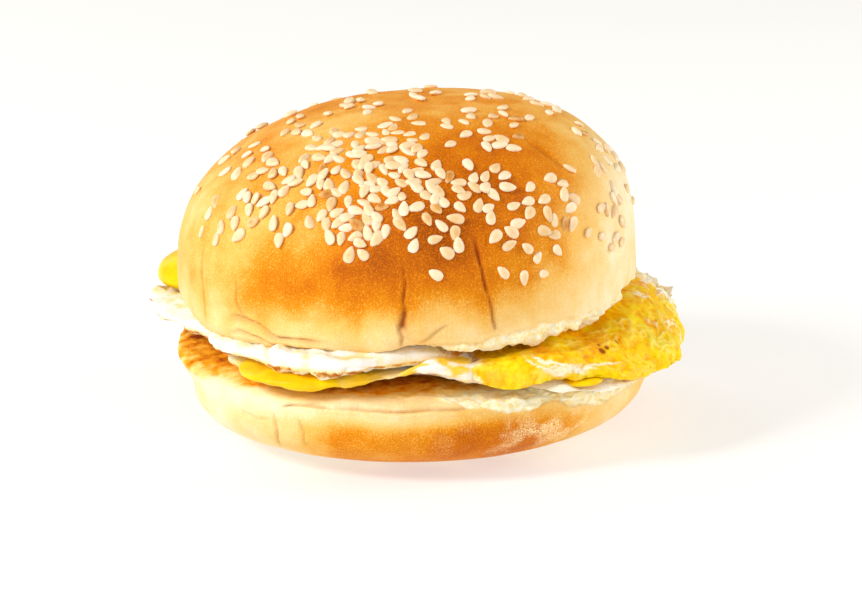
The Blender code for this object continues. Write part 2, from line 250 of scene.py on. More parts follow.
# sRGB hex to the linear values that shaders use
def colour(hexValue):
    parts = [int(hexValue[k : k + 2], 16) / 255 for k in (1, 3, 5)]
    return (*[c / 12.92 if c <= 0.04045 else ((c + 0.055) / 1.055) ** 2.4 for c in parts], 1.0)


# adds one node and gives one of its outputs: its inputs are values or other nodes' outputs, in order or by their
# capitalised names, and names in small letters are its own settings
def addNode(tree, kind, *inputs, output=None, stops=(), **named):
    node = tree.nodes.new("ShaderNode" + kind)
    for key, value in named.items():
        if key[0].islower():
            setattr(node, key, value)
    if stops:
        ramp = node.color_ramp
        ramp.elements[0].position, ramp.elements[1].position = stops[0][0], stops[-1][0]
        for position, _ in stops[1:-1]:
            ramp.elements.new(position)
        for element, (_, hexValue) in zip(ramp.elements, stops):
            element.color = colour(hexValue)
    pairs = list(zip([socket for socket in node.inputs if socket.enabled], inputs))
    pairs += [(node.inputs[key], value) for key, value in named.items() if key[0].isupper()]
    for socket, value in pairs:
        if isinstance(value, bpy.types.NodeSocket):
            tree.links.new(value, socket)
        else:
            socket.default_value = value
    return node.outputs[output] if output else next(socket for socket in node.outputs if socket.enabled)


# a new material with its shader's plain values set on the shader itself, and the place on the object for its patterns
def newMaterial(name, shaderValues):
    material = bpy.data.materials.new(name)
    material.use_nodes = True
    tree = material.node_tree
    shader = tree.nodes["Principled BSDF"]
    for key, value in shaderValues.items():
        shader.inputs[key].default_value = value
    return material, tree, shader, addNode(tree, "TexCoord", output="Object")


# Baked bread crust, egg-washed: golden skin with a fine grain of tiny blisters, pale where it was shaded in the tin
def bakedCrust():
    values = {"IOR": 1.45, "Specular IOR Level": 0.12, "Subsurface Weight": 0.06}
    values.update({"Subsurface Radius": (1.0, 0.5, 0.2), "Subsurface Scale": 1.6 * mm})
    material, tree, shader, place = newMaterial("baked bread crust", values)
    bake, crumb, toast, crease, flour, scorchAndShade = (
        addNode(tree, "Attribute", output="Fac", attribute_name=name)
        for name in ("bake", "crumb", "toast", "crease", "flour", "scorchAndShade")
    )
    # blisters 0.3 mm across, cloudy browning 5 mm across
    grain = addNode(tree, "TexNoise", Vector=place, Scale=1 / (0.3 * mm), Detail=2.0, Roughness=0.6)
    cloud = addNode(tree, "TexNoise", Vector=place, Scale=1 / (5.0 * mm), Detail=3.0, Roughness=0.55)
    # the highest blisters stay pale, and the grain shows most on brown crust
    grainShift = addNode(tree, "MapRange", grain, 0.48, 0.68, 0.07, -0.25)
    grainShare = addNode(tree, "Math", bake, 0.7, 0.2, operation="MULTIPLY_ADD")
    grainPart = addNode(tree, "Math", grainShift, grainShare, operation="MULTIPLY")
    cloudShift = addNode(tree, "Math", cloud, 0.3, -0.15, operation="MULTIPLY_ADD")
    shifted = addNode(tree, "Math", bake, grainPart, operation="ADD")
    brownAndShade = addNode(tree, "Math", shifted, cloudShift, operation="ADD")
    stops = (
        (0.0, "#fcecc6"),
        (0.18, "#f7d590"),
        (0.40, "#f2ba56"),
        (0.60, "#e58d00"),
        (0.80, "#cc6a00"),
        (1.0, "#9e4a02"),
    )
    skin = addNode(tree, "ValToRGB", brownAndShade, stops=stops)
    # creases are darker brown: partly browned crust, partly painted shade in the valleys
    creased = addNode(tree, "Mix", crease, skin, colour("#a44400"), data_type="RGBA")
    # flour sits in specks as wide as the blisters
    speck = addNode(tree, "MapRange", grain, 0.4, 0.56)
    floury = addNode(tree, "Math", speck, flour, operation="MULTIPLY")
    dusted = addNode(tree, "Mix", floury, creased, colour("#fde2a8"), data_type="RGBA")
    # open crumb: pores about 1 mm across, in cream
    pores = addNode(tree, "TexNoise", Vector=place, Scale=1 / (1.1 * mm), Detail=4.0, Roughness=0.65)
    crumbColour = addNode(tree, "ValToRGB", pores, stops=((0.26, "#f9c468"), (0.4, "#ffe9a6"), (0.58, "#fff9de")))
    bread = addNode(tree, "Mix", crumb, dusted, crumbColour, data_type="RGBA")
    # toasted cut face: browned unevenly where it lay on the griddle, and darker by the scorch mask, which is partly
    # scorching and partly painted shade under the eggs
    griddled = addNode(tree, "TexNoise", Vector=place, Scale=1 / (3.4 * mm), Detail=4.0, Roughness=0.6)
    toasted = addNode(tree, "Math", griddled, scorchAndShade, operation="SUBTRACT")
    stops = ((0.2, "#a8420a"), (0.32, "#d87c0c"), (0.46, "#f4a81c"), (0.64, "#fdd67c"))
    toastColour = addNode(tree, "ValToRGB", toasted, stops=stops)
    final = addNode(tree, "Mix", toast, bread, toastColour, data_type="RGBA")
    tree.links.new(final, shader.inputs["Base Color"])
    opened = addNode(tree, "Math", crumb, toast, operation="MAXIMUM")
    tree.links.new(addNode(tree, "MapRange", opened, 0.0, 1.0, 0.5, 0.9), shader.inputs["Roughness"])
    # upright wrinkles 0.9 mm wide, drawn out along the height, then the blisters, then the pores
    drawnOut = addNode(tree, "Mapping", Vector=place, Scale=(1.0, 1.0, 0.25))
    wrinkles = addNode(tree, "TexNoise", Vector=drawnOut, Scale=1 / (0.9 * mm), Detail=2.0, Roughness=0.6)
    poreHeight = addNode(tree, "Math", pores, opened, operation="MULTIPLY")
    bump = addNode(tree, "Bump", Height=wrinkles, Strength=0.5, Distance=0.3 * mm)
    bump = addNode(tree, "Bump", Height=grain, Strength=0.6, Distance=0.2 * mm, Normal=bump)
    bump = addNode(tree, "Bump", Height=poreHeight, Strength=0.6, Distance=0.4 * mm, Normal=bump)
    tree.links.new(bump, shader.inputs["Normal"])
    return material


# Hulled sesame: a smooth cream husk, a little darker towards its middle, some seeds toasted tan
def hulledSesame():
    values = {"IOR": 1.47, "Roughness": 0.42, "Specular IOR Level": 0.4, "Subsurface Weight": 0.12}
    values.update({"Subsurface Radius": (1.0, 0.7, 0.4), "Subsurface Scale": 0.7 * mm})
    material, tree, shader, place = newMaterial("hulled sesame", values)
    tone = addNode(tree, "Attribute", output="Fac", attribute_name="tone")
    husk = addNode(tree, "TexNoise", Vector=place, Scale=1 / (1.1 * mm), Detail=2.0)
    shift = addNode(tree, "Math", husk, 0.24, -0.12, operation="MULTIPLY_ADD")
    total = addNode(tree, "Math", tone, shift, operation="ADD")
    stops = ((0.0, "#fdecd0"), (0.35, "#f8deb6"), (0.65, "#ecc48a"), (0.85, "#d99a48"), (1.0, "#bd7122"))
    tree.links.new(addNode(tree, "ValToRGB", total, stops=stops), shader.inputs["Base Color"])
    bump = addNode(tree, "Bump", Height=husk, Strength=0.3, Distance=0.1 * mm)
    tree.links.new(bump, shader.inputs["Normal"])
    return material


# Fried egg white: set, moist and slightly see-through, with edges browned in fat; it also carries painted shade in
# hollows and under the crown's rim
def friedWhite():
    values = {"IOR": 1.36, "Roughness": 0.34, "Specular IOR Level": 0.4, "Subsurface Weight": 0.16}
    values.update({"Subsurface Radius": (1.0, 0.8, 0.55), "Subsurface Scale": 0.8 * mm})
    material, tree, shader, place = newMaterial("fried egg white", values)
    brownAndShade, stainAndShade, smear = (
        addNode(tree, "Attribute", output="Fac", attribute_name=name) for name in ("brownAndShade", "stainAndShade", "smear")
    )
    # speckle of the fried edge 0.8 mm across, clouding 4 mm across
    speckle = addNode(tree, "TexNoise", Vector=place, Scale=1 / (0.8 * mm), Detail=4.0, Roughness=0.65)
    cloud = addNode(tree, "TexNoise", Vector=place, Scale=1 / (4.0 * mm), Detail=3.0)
    milky = addNode(tree, "ValToRGB", cloud, stops=((0.35, "#fbf3e0"), (0.6, "#fffdf8")))
    # cream from yolk stains, and painted shade in the hollows between curds
    cream = addNode(tree, "Mix", stainAndShade, milky, colour("#f9dc7c"), data_type="RGBA")
    stained = addNode(tree, "Mix", smear, cream, colour("#ffce14"), data_type="RGBA")
    spread = addNode(tree, "Math", speckle, 1.1, -0.55, operation="MULTIPLY_ADD")
    # browned edges, and painted shadow lines under the crown's rim
    fried = addNode(tree, "Math", brownAndShade, spread, operation="ADD")
    share = addNode(tree, "MapRange", fried, 0.25, 0.75)
    edge = addNode(tree, "ValToRGB", fried, stops=((0.3, "#f2c867"), (0.6, "#dd9629"), (1.0, "#a9590f")))
    final = addNode(tree, "Mix", share, stained, edge, data_type="RGBA")
    tree.links.new(final, shader.inputs["Base Color"])
    bump = addNode(tree, "Bump", Height=speckle, Strength=0.7, Distance=0.4 * mm)
    tree.links.new(bump, shader.inputs["Normal"])
    return material


# Set egg yolk: smooth, moist and deep yellow, with cloudy colour 5 mm across and a faint grain 1.4 mm across
def setYolk():
    values = {"IOR": 1.4, "Roughness": 0.3, "Specular IOR Level": 0.22, "Subsurface Weight": 0.25}
    values.update({"Subsurface Radius": (1.0, 0.6, 0.05), "Subsurface Scale": 1.5 * mm})
    material, tree, shader, place = newMaterial("set egg yolk", values)
    cloud = addNode(tree, "TexNoise", Vector=place, Scale=1 / (5.0 * mm), Detail=3.0)
    skin = addNode(tree, "ValToRGB", cloud, stops=((0.3, "#fcba00"), (0.7, "#ffd900")))
    tree.links.new(skin, shader.inputs["Base Color"])
    fine = addNode(tree, "TexNoise", Vector=place, Scale=1 / (1.4 * mm), Detail=2.0)
    bump = addNode(tree, "Bump", Height=fine, Strength=0.15, Distance=0.2 * mm)
    tree.links.new(bump, shader.inputs["Normal"])
    return material


# Broken yolk fried with the white: yellow with a net of set white threads, a few browned spots, and painted shade in
# its pits and under the crown
def friedYolk():
    values = {"IOR": 1.38, "Roughness": 0.36, "Specular IOR Level": 0.15, "Subsurface Weight": 0.4}
    values.update({"Subsurface Radius": (1.0, 0.5, 0.05), "Subsurface Scale": 2.2 * mm})
    material, tree, shader, place = newMaterial("fried broken yolk", values)
    white, brownAndShade, net, deep = (
        addNode(tree, "Attribute", output="Fac", attribute_name=name) for name in ("white", "brownAndShade", "net", "deep")
    )
    # fine grain 1 mm across, cloudy colour 7 mm across
    speckle = addNode(tree, "TexNoise", Vector=place, Scale=1 / (1.0 * mm), Detail=4.0, Roughness=0.6)
    patch = addNode(tree, "TexNoise", Vector=place, Scale=1 / (7.0 * mm), Detail=3.0)
    mixed = addNode(tree, "Mix", 0.55, patch, speckle, data_type="FLOAT")
    # painted shade: amber in the pits and under the crown
    mixed = addNode(tree, "Math", deep, -0.13, mixed, operation="MULTIPLY_ADD")
    stops = ((0.24, "#e89200"), (0.36, "#fbb600"), (0.48, "#ffd000"), (0.62, "#ffe208"))
    yellow = addNode(tree, "ValToRGB", mixed, stops=stops)
    threadShare = addNode(tree, "MapRange", patch, 0.4, 0.62, 0.15, 0.8)
    threads = addNode(tree, "Math", net, threadShare, operation="MULTIPLY")
    netted = addNode(tree, "Mix", threads, yellow, colour("#ffec7c"), data_type="RGBA")
    # the grain frays the edges of white and of brown
    fray = addNode(tree, "Math", speckle, 0.9, -0.45, operation="MULTIPLY_ADD")
    whiteSum = addNode(tree, "Math", white, fray, operation="ADD")
    whiteShare = addNode(tree, "MapRange", whiteSum, 0.35, 0.85)
    streaked = addNode(tree, "Mix", whiteShare, netted, colour("#fcf2d8"), data_type="RGBA")
    # browned spots, and painted shade under the crown's rim
    brownSum = addNode(tree, "Math", brownAndShade, fray, operation="ADD")
    brownShare = addNode(tree, "MapRange", brownSum, 0.3, 0.8, 0.0, 0.9)
    browned = addNode(tree, "Mix", brownShare, streaked, colour("#8a3002"), data_type="RGBA")
    tree.links.new(browned, shader.inputs["Base Color"])
    bump = addNode(tree, "Bump", Height=speckle, Strength=0.5, Distance=0.35 * mm)
    tree.links.new(bump, shader.inputs["Normal"])
    return material


# The crown

# The upper half of the bun, with its form from the part's own source; from "sag" on, the values are for looks
crown = {
    "radius": 48.3,
    "height": 41.0,
    "widest": 9.0,
    "domePower": 2.42,
    "lean": 0.3,
    "rimPower": 9.0,
    "seat": 28.3,
    "tilt": 3.1,
    "slits": ((-148, 14.0, 12.0), (-134, 8.0, 6.0), (-90, 8.5, 7.0), (-71, 11.0, 9.0)),
    "sag": 2.1,
    "columns": 430,
    "rows": 215,
    "closer": (5.0, 1.6),
    "unevenness": 0.38,
    "creases": {"seed": 21, "fadeIn": 0.25, "dip": 0.16, "bank": 0.22, "bankWidth": 1.6},
}
crumbHang = {"around": (-88, -72, -36, -20), "inner": 37.0, "outer": 46.0, "drop": 3.4}

# height of the torn rim: below it the skin is gone and the crumb shows
tornRim = ((-180, -1), (-104, -1), (-92, 0.2), (-84, 1.3), (-70, 2.0), (-57, 2.2), (-45, 2.5), (-35, 2.3),
           (-22, 1.9), (-8, 1.6), (15, 1.3), (60, 0.8), (120, 0.6), (160, 0.2), (180, -1))

# Creases in the crown's crust: angle around and height along each, its width and depth, and how dark its colour is,
# partly browning and partly painted shade
crownCreases = (
    ("left seam", ((-149.3, 20), (-149.6, 14), (-148.8, 8), (-148.9, 4), (-148.2, 0)), 0.22, 0.42, 0.35),
    ("left short", ((-134.9, 14), (-134.1, 10.6), (-134.6, 8), (-133.2, 5.2), (-131, 4.6)), 0.22, 0.45, 0.35),
    ("middle seam", ((-89.8, 17.5), (-89.2, 13.5), (-89.9, 10), (-89.5, 7.5)), 0.2, 0.45, 0.7),
    ("middle pit", ((-89.5, 9.0), (-89.9, 7.0), (-90.5, 5.2)), 0.5, 0.7, 0.9),
    ("middle foot", ((-90.2, 6.5), (-91.2, 4.2), (-90.6, 2.6), (-91.6, 0.4)), 0.24, 0.42, 0.5),
    ("right seam", ((-71.9, 21.5), (-71.3, 17), (-70.6, 12.6), (-69.8, 9)), 0.3, 0.6, 0.85),
    ("right foot", ((-70.1, 11), (-69.2, 7), (-68.9, 4), (-68.3, 1.6)), 0.22, 0.42, 0.6),
    ("lip crease", ((-87.4, 1.2), (-84.6, 2.1), (-81.6, 3.8), (-79.6, 4.8)), 0.2, 0.3, 0.25),
    ("rim fold", ((-141, 3.4), (-135, 4.6), (-128, 3.9), (-122, 1.7), (-115, 1.9), (-106, 1.2)), 0.34, 0.95, 0.3),
    ("rim flake", ((-140, 0.6), (-134, 1.9), (-128, 1.2), (-121, -0.3), (-113, 0.1), (-106, -0.5)), 0.28, 0.7, 0.3),
    ("shoulder dimple", ((-42.0, 35.8), (-39.8, 33.8), (-38.2, 31.6), (-36.6, 29.6)), 0.6, 0.4, 0.35),
)

# How brown the crust is: angle around, height angle, spread, and how much browner or paler
crownBrowning = (
    (-62, 24, 20, 0.22),
    (-80, 14, 13, 0.24),
    (-102, 10, 13, 0.20),
    (-118, 7, 9, 0.12),
    (-50, 40, 20, 0.10),
    (-95, 30, 18, 0.05),
    (-125, 50, 16, -0.10),
    (-150, 62, 18, -0.13),
    (-172, 12, 22, -0.22),
    (-135, 18, 11, -0.16),
    (-112, 15, 8, -0.14),
    (-120, 26, 10, -0.08),
    (-12, 8, 22, -0.56),
    (-38, -2, 14, -0.22),
    (25, 25, 25, -0.14),
    (95, 30, 40, 0.06),
)


# how far the torn crumb hangs below the cut face: a soft band in angle times a soft step in radius
def hangDepth(x, y):
    along = band(*crumbHang["around"], np.degrees(np.arctan2(y, x)))
    return crumbHang["drop"] * along * ease(crumbHang["inner"], crumbHang["outer"], np.hypot(x, y))


# height of the crown's underside: a tilted plane less the hanging crumb
def crownSeat(x, y):
    return crown["seat"] + x * math.tan(math.radians(crown["tilt"])) - hangDepth(x, y)


# how far the soft rim sags at the front left, where the egg carries it
def rimSag(degrees, out):
    return crown["sag"] * band(-168, -146, -100, -88, degrees) * ease(40.0, 46.0, out)


# the dome is squarer on the side that it leans to
def domePower(degrees):
    return crown["domePower"] + crown["lean"] * np.cos(np.radians(degrees))


# a circle with two and three faint lobes
def crownRadius(degrees):
    a = np.radians(degrees)
    return crown["radius"] + 0.35 * np.cos(2 * a + 0.6) + 0.3 * np.cos(3 * a - 1.0)


# from the crown's own frame to the table's: a turn about Y and a lift
def toTable(points):
    tilt = math.radians(crown["tilt"])
    x, y, z = points[..., 0], points[..., 1], points[..., 2]
    lifted = crown["seat"] + x * math.sin(tilt) + z * math.cos(tilt)
    return np.stack((x * math.cos(tilt) - z * math.sin(tilt), y, lifted), axis=-1)


# superellipse of revolution, with the hanging crumb and the sag taken off below its widest ring
def crownForm(around, above):
    out, up = superellipse(above, domePower(around), crown["rimPower"])
    rise = np.where(above > 0, crown["height"] - crown["widest"], crown["widest"])
    height = crown["widest"] + up * rise
    radius = crownRadius(around) * out
    x, y = radius * np.cos(np.radians(around)), radius * np.sin(np.radians(around))
    hang = hangDepth(x, y) + rimSag(around, radius)
    height = height - np.where(above < 0, hang * (1 - ease(0.0, crown["widest"], height)), 0.0)
    return np.stack((x, y, height), axis=-1)


# creases in a crust: each is a bell-shaped valley in a wide shallow dip, with a low bank on either side, and it
# wanders, swells and fades along its path; gives the relief and the creases' darker colour, which is partly browning
# and partly painted shade in the valleys
def carveCreases(creases, points, degrees, bread):
    style = bread["creases"]
    relief, crease = np.zeros_like(degrees), np.zeros_like(degrees)
    wander = lumps(points, 2.2, style["seed"]) * 0.3
    swing = 1 + 0.5 * lumps(points, 3.0, style["seed"] + 6)
    for name, path, width, depth, brownAndShade in creases:
        distance, along = pathDistance(degrees, points[..., 2], bread["radius"], path)
        fade = ease(0.0, 0.4, along) if name == "middle pit" else band(0.0, style["fadeIn"], 0.8, 1.0, along)
        distance = distance + wander * ease(0.0, 2.5, distance + 0.6)
        valley = hump(distance, width * swing) + style["dip"] * hump(distance, width * 7)
        banks = style["bank"] * hump(distance - 3.2 * width, style["bankWidth"] * width)
        relief += fade * depth * (banks - valley)
        crease = np.maximum(crease, fade * brownAndShade * hump(distance, width * 1.5 * swing))
    return relief, crease


def makeCrown(material):
    print("crown")
    middles = sorted({round(crease[1][0][0] / 8) * 8 for crease in crownCreases})
    around = closerColumns(crown["columns"], middles, *crown["closer"])[None, :]

    def profile(above):
        out, up = superellipse(above, crown["domePower"], crown["rimPower"])
        return out * crown["radius"], up * np.where(up > 0, crown["height"] - crown["widest"], crown["widest"])

    # few rows on the cut face, which is hidden
    above = evenRows(profile, crown["rows"], lambda out, up: np.where((out < 42) & (up < -8), 0.12, 1.0 + (up < 4)))
    above = above[:, None]
    points = crownForm(around, above)
    normal = gridNormals(points)
    height = points[..., 2]
    reach = np.hypot(points[..., 0], points[..., 1])
    degrees = np.broadcast_to(around, height.shape)
    raised = np.degrees(np.arctan2(height - crown["widest"], reach))

    relief = roughness(points, 24.0, 3, 2) * crown["unevenness"] + roughness(points, 6.0, 8, 3) * 0.1
    carved, crease = carveCreases(crownCreases, points, degrees, crown)
    relief += carved
    # a puffed lip below the fold at the front left
    puffed = band(-152, -138, -112, -102, degrees) * (height > -3)
    relief += puffed * (0.55 * hump(height - 1.4, 1.5) - 0.4 * hump(height - 5.2, 1.3))
    # upright wrinkles where the crust was drawn in at the rim
    tall = points * np.array([1.0, 1.0, 0.16])
    wrinkles = (1 - ease(5.0, 15.0, height)) * (height > -5)
    relief += wrinkles * (lumps(tall, 1.5, 35) * 0.1 + lumps(tall, 3.4, 36) * 0.16)

    # torn crumb lies in flat layers, fluffed up at the front right
    edge = np.interp(degrees, *np.array(tornRim, float).T)
    edge = edge + 0.9 * roughness(points, 4.5, 31, 3) - hangDepth(points[..., 0], points[..., 1]) * 0.5
    outer = ease(0.84, 0.92, reach / crown["radius"])
    torn = (1 - ease(-0.2, 0.2, height - edge)) * outer * (above < 3)
    layered = points * np.array([0.4, 0.4, 1.3])
    fluff = 1 + 1.2 * hump(turn(degrees, -34), 20)
    relief += torn * fluff * (np.abs(roughness(layered, 1.7, 44, 3)) - 0.35 + roughness(points, 4.5, 46, 3) * 0.4)
    relief += hump(height - edge - 0.6, 0.45) * outer * (above < 0) * 0.3 * (edge > -0.5)
    under = (1 - outer) * (above < 0)
    relief += under * roughness(points, 2.4, 45, 3) * 0.15

    bake = 0.56 + 0.08 * roughness(points, 14.0, 52, 3) + 0.05 * roughness(points, 4.0, 57, 2)
    for middle, lift, spread, amount in crownBrowning:
        sideways = turn(degrees, middle) * np.cos(np.radians(np.clip(raised, -80, 80)))
        bake += amount * hump(np.hypot(sideways, raised - lift), spread)
    paleRim = ease(0.0, 12.0, height + 1.4 * roughness(points, 9.0, 61, 2) + 2.4 * lumps(tall, 3.2, 63))
    bake = bake * (0.36 + 0.64 * paleRim)

    points = toTable(points + normal * relief[..., None])
    bottom = toTable(np.array([0.0, 0.0, 0.0]))
    top = toTable(np.array([0.0, 0.0, crown["height"] + relief[-1].mean()]))
    attributes = {"bake": bake, "crumb": torn, "toast": under, "crease": crease * (1 - torn)}
    piece = closedGrid("crown_bread", points, bottom, top, material, {**attributes, "flour": 0.0, "scorchAndShade": 0.0})
    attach(piece, "root")
    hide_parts("top_bun")


# Sesame seeds: the same draw as in the part's source
sesame = {
    "length": 3.3,
    "width": 2.05,
    "rise": 0.72,
    "sink": 0.35,
    "spacing": 2.2,
    "heapedSpacing": 1.6,
    "fuller": 1.04,
    "toasted": 0.03,
    "sections": 7,
    "sides": 8,
    "draw": 11,
    "leanDraw": 5,
}

# patches of seeds: angle around, height angle, spread around and upwards, and how many
sesamePatches = (
    (-169, 31, 2.2, 6.4, 5),
    (-157, 52, 5.0, 3.4, 8),
    (-148, 17, 2.0, 3.4, 7),
    (-147, 33, 4.4, 3.1, 8),
    (-134, 21, 3.3, 2.7, 11),
    (-134, 72, 9.0, 3.5, 7),
    (-125, 31, 3.8, 2.6, 7),
    (-118, 45, 4.4, 4.0, 10),
    (-117, 16, 3.9, 1.8, 4),
    (-116, 25, 3.0, 2.2, 4),
    (-106, 31, 3.4, 3.5, 16),
    (-100, 19, 4.2, 2.8, 13),
    (-95, 46, 3.9, 3.9, 13),
    (-87, 30, 4.0, 3.4, 14),
    (-81, 17, 3.6, 2.6, 10),
    (-75, 54, 3.8, 5.4, 8),
    (-69, 24, 3.6, 4.2, 12),
    (-58, 3, 2.6, 1.5, 2),
    (-52, 14, 5.2, 4.7, 17),
    (-50, 42, 5.0, 3.7, 13),
    (-32, 51, 4.4, 3.9, 5),
    (-29, 11, 3.0, 3.0, 9),
    (-22, 20, 3.8, 2.8, 9),
    (-7, 23, 3.8, 4.0, 12),
    (4, 41, 3.0, 4.6, 6),
    (11, 63, 5.0, 3.2, 5),
    (18, 76, 8.0, 2.5, 4),
    (90, 50, 13.0, 9.0, 9),
    (35, 36, 8.0, 7.0, 5),
    (150, 40, 11.0, 8.0, 7),
)

# more seeds heaped among them where they lie thickest
heapedPatches = (
    (-106, 34, 4.5, 4.5, 16),
    (-97, 41, 4.5, 3.5, 12),
    (-90, 30, 5.0, 4.0, 12),
    (-100, 22, 5.0, 3.0, 8),
    (-72, 26, 5.0, 4.5, 6),
    (-52, 18, 5.0, 4.0, 6),
)


# point of the dome seen from its centre in a direction, and its outward normal: the reach is
# one over the sum of the direction's parts over the half axes, each to the dome's power
def onDome(bearing, raised):
    flat, up = math.cos(raised), math.sin(raised)
    power = float(domePower(math.degrees(bearing)))
    across = float(crownRadius(math.degrees(bearing)))
    tall = crown["height"] - crown["widest"]
    reach = ((flat / across) ** power + (up / tall) ** power) ** (-1 / power)
    out, rise = reach * flat, reach * up
    normal = Vector((math.cos(bearing), math.sin(bearing), 0.0)) * (out / across) ** (power - 1) / across
    normal.z = (rise / tall) ** (power - 1) / tall
    return Vector((out * math.cos(bearing), out * math.sin(bearing), crown["widest"] + rise)), normal.normalized()


# draws places in each patch, keeps those clear of other seeds and of the crust's splits, and lifts a crowded seed
def scatterSeeds():
    draw = random.Random(sesame["draw"])
    seeds = []
    patches = [(*patch, sesame["spacing"]) for patch in sesamePatches]
    patches += [(*patch, sesame["heapedSpacing"]) for patch in heapedPatches]
    for bearing, raised, across, upward, count, spacing in patches:
        left, tries = count, count * 40
        while left and tries:
            tries -= 1
            # millimetres along the crust, turned to angles
            sideways = draw.gauss(0, across)
            share = math.radians(raised) + draw.gauss(0, upward) / 44
            around = math.radians(bearing) + sideways / (46 * max(0.25, math.cos(share)))
            spin = draw.uniform(0, 2 * math.pi)
            size = draw.uniform(0.88, 1.08)
            if not 0.03 < share < 1.5:
                continue
            place, normal = onDome(around, share)
            if any((place - other[0]).length < spacing for other in seeds):
                continue
            degrees = math.degrees(around)
            if any(abs(turn(degrees, at)) < 3.6 and abs(place.z - z) < tall * 1.6 for at, z, tall in crown["slits"]):
                continue
            crowded = any((place - other[0]).length < 1.9 for other in seeds)
            seeds.append((place + normal * 0.35 * crowded, normal, spin, size))
            left -= 1
    return seeds


# one seed: a flattened spindle along X whose width is the root of one less the square of the place along it,
# narrowed towards its tip
def seedForm():
    along = -np.cos(np.linspace(0, np.pi, sesame["sections"] + 1))[1:-1, None]
    turned = np.linspace(0, 2 * np.pi, sesame["sides"], endpoint=False)[None, :]
    half = np.sqrt(1 - along**2) ** 0.9
    point = 1 - 0.3 * np.clip(along, 0, 1) ** 2
    width = half * point * (1 - 0.26 * along) * sesame["width"] / 2 * sesame["fuller"]
    thick = half * (sesame["rise"] + sesame["sink"]) / 2
    middle = (sesame["rise"] - sesame["sink"]) / 2
    end = sesame["length"] / 2
    grid = np.stack((along * end + 0 * turned, width * np.cos(turned), thick * np.sin(turned) + middle), axis=-1)
    tips = [[-end, 0, middle], [end, 0, middle]]
    # the hollow of the husk, on top
    heart = np.clip(np.sin(turned), 0, 1) ** 2 * half**3
    return np.concatenate((grid.reshape(-1, 3), tips)), np.concatenate((heart.ravel(), [0.0, 0.0]))


def makeSeeds(material):
    print("sesame")
    form, heart = seedForm()
    # the spindle runs along X, so its faces turn the other way
    faces = [np.roll(f[:, ::-1], 1, axis=1) for f in gridFaces(sesame["sections"] - 1, sesame["sides"])]
    draw = random.Random(sesame["leanDraw"])
    frames, places, tones = [], [], []
    for place, normal, spin, size in scatterSeeds():
        facing = normal.to_track_quat("Z", "Y").to_matrix()
        lean = Matrix.Rotation(math.radians(draw.gauss(0, 7)), 3, "Y")
        lean = lean @ Matrix.Rotation(math.radians(draw.gauss(0, 9)), 3, "X")
        stretch = Matrix.Diagonal((draw.uniform(0.92, 1.08), draw.uniform(0.9, 1.1), draw.uniform(0.9, 1.15)))
        frames.append(facing @ Matrix.Rotation(spin, 3, "Z") @ lean @ stretch * size)
        places.append(place)
        tones.append(0.7 if draw.random() < sesame["toasted"] else min(0.6, max(0.0, draw.gauss(0.26, 0.13))))
    frames, places = np.array(frames), np.array(places)
    points = np.einsum("nij,kj->nki", frames, form) + places[:, None, :]
    points = toTable(points).reshape(-1, 3)
    shift = (np.arange(len(places)) * len(form))[:, None, None]
    arrays = [(f[None] + shift).reshape(-1, f.shape[1]) for f in faces]
    tone = (np.array(tones)[:, None] + 0.3 * heart[None, :]).ravel()
    piece = newPiece("sesame_seeds", points * mm, arrays, material, {"tone": tone})
    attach(piece, "root")
    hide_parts("top_bun")


# The heel

# The lower half of the bun, where "tuck" draws it in on the left; from "columns" on, the values are for looks
heel = {
    "radius": 50.6,
    "height": 18.3,
    "widest": 13.4,
    "belly": 14.6,
    "bellyPower": 2.7,
    "lipPower": 6.0,
    "tuck": {"around": 180, "spread": 26, "depth": 5.2, "foot": (1.5, 7.5), "lip": (12.0, 18.0)},
    "columns": 420,
    "rows": 170,
    "closer": (7.0, 0.9),
    "closerAt": (-121, -114, -104, -92, -80, -62, -50),
    "unevenness": 0.3,
    "creases": {"seed": 23, "fadeIn": 0.2, "dip": 0.18, "bank": 0.25, "bankWidth": 1.7},
}

# Creases in the heel's crust, as in the crown's; the darker colour under the lip is painted shadow of the lip's
# overhang
heelCreases = (
    ("left of the lip", ((-120, 15.0), (-117, 16.0), (-112, 16.6), (-106, 16.2)), 0.3, 0.9, 0.2),
    ("under the lip", ((-109, 16.4), (-101, 16.7), (-92, 16.2), (-84, 16.7), (-77, 16.4), (-71, 16.9)), 0.3, 1.0, 0.2),
    ("left crease", ((-122.0, 14.8), (-121.2, 10), (-122.2, 7), (-124.0, 4.2)), 0.24, 0.5, 0.25),
    ("second crease", ((-115.6, 14.4), (-113.9, 10.6), (-114.4, 8.4), (-113.2, 6.6)), 0.2, 0.35, 0.2),
    ("faint crease", ((-129, 10), (-130.5, 7.5), (-129.6, 5)), 0.22, 0.2, 0.1),
    ("slanting crease", ((-133, 13), (-127, 11.6), (-122.5, 12.2)), 0.26, 0.25, 0.12),
)

# Height of the torn edge's lower line around, and how far out the toasted face reaches
heelCrumbEdge = ((-84, 17.8), (-76, 16.9), (-71, 15.4), (-66, 14.8), (-61, 14.4), (-57, 15.8), (-53, 15.6),
                 (-50, 13.8), (-44, 13.0), (-38, 12.4), (-30, 12.6), (-22, 13.0), (-8, 14.6), (10, 15.4),
                 (60, 15.8), (120, 15.2), (160, 16.4), (185, 18.2), (240, 18.4), (276, 17.8))
heelToastEdge = ((-180, 53), (-158, 52), (-148, 50.2), (-138, 48.4), (-126, 46.6), (-115, 45.6), (-100, 45.2),
                 (-85, 45.0), (-70, 43.6), (-55, 42.5), (-30, 44), (0, 46.5), (90, 48), (140, 51), (180, 53))

# How much browner the heel is low down: angle around, spread, the heights between which it fades, and how much
heelBrowning = (
    (-84, 22, 11.0, 15.5, 0.28),
    (-50, 22, 9.0, 15.0, 0.14),
    (-62, 10, 6.0, 12.0, 0.14),
    (-108, 12, 9.0, 13.5, 0.10),
)


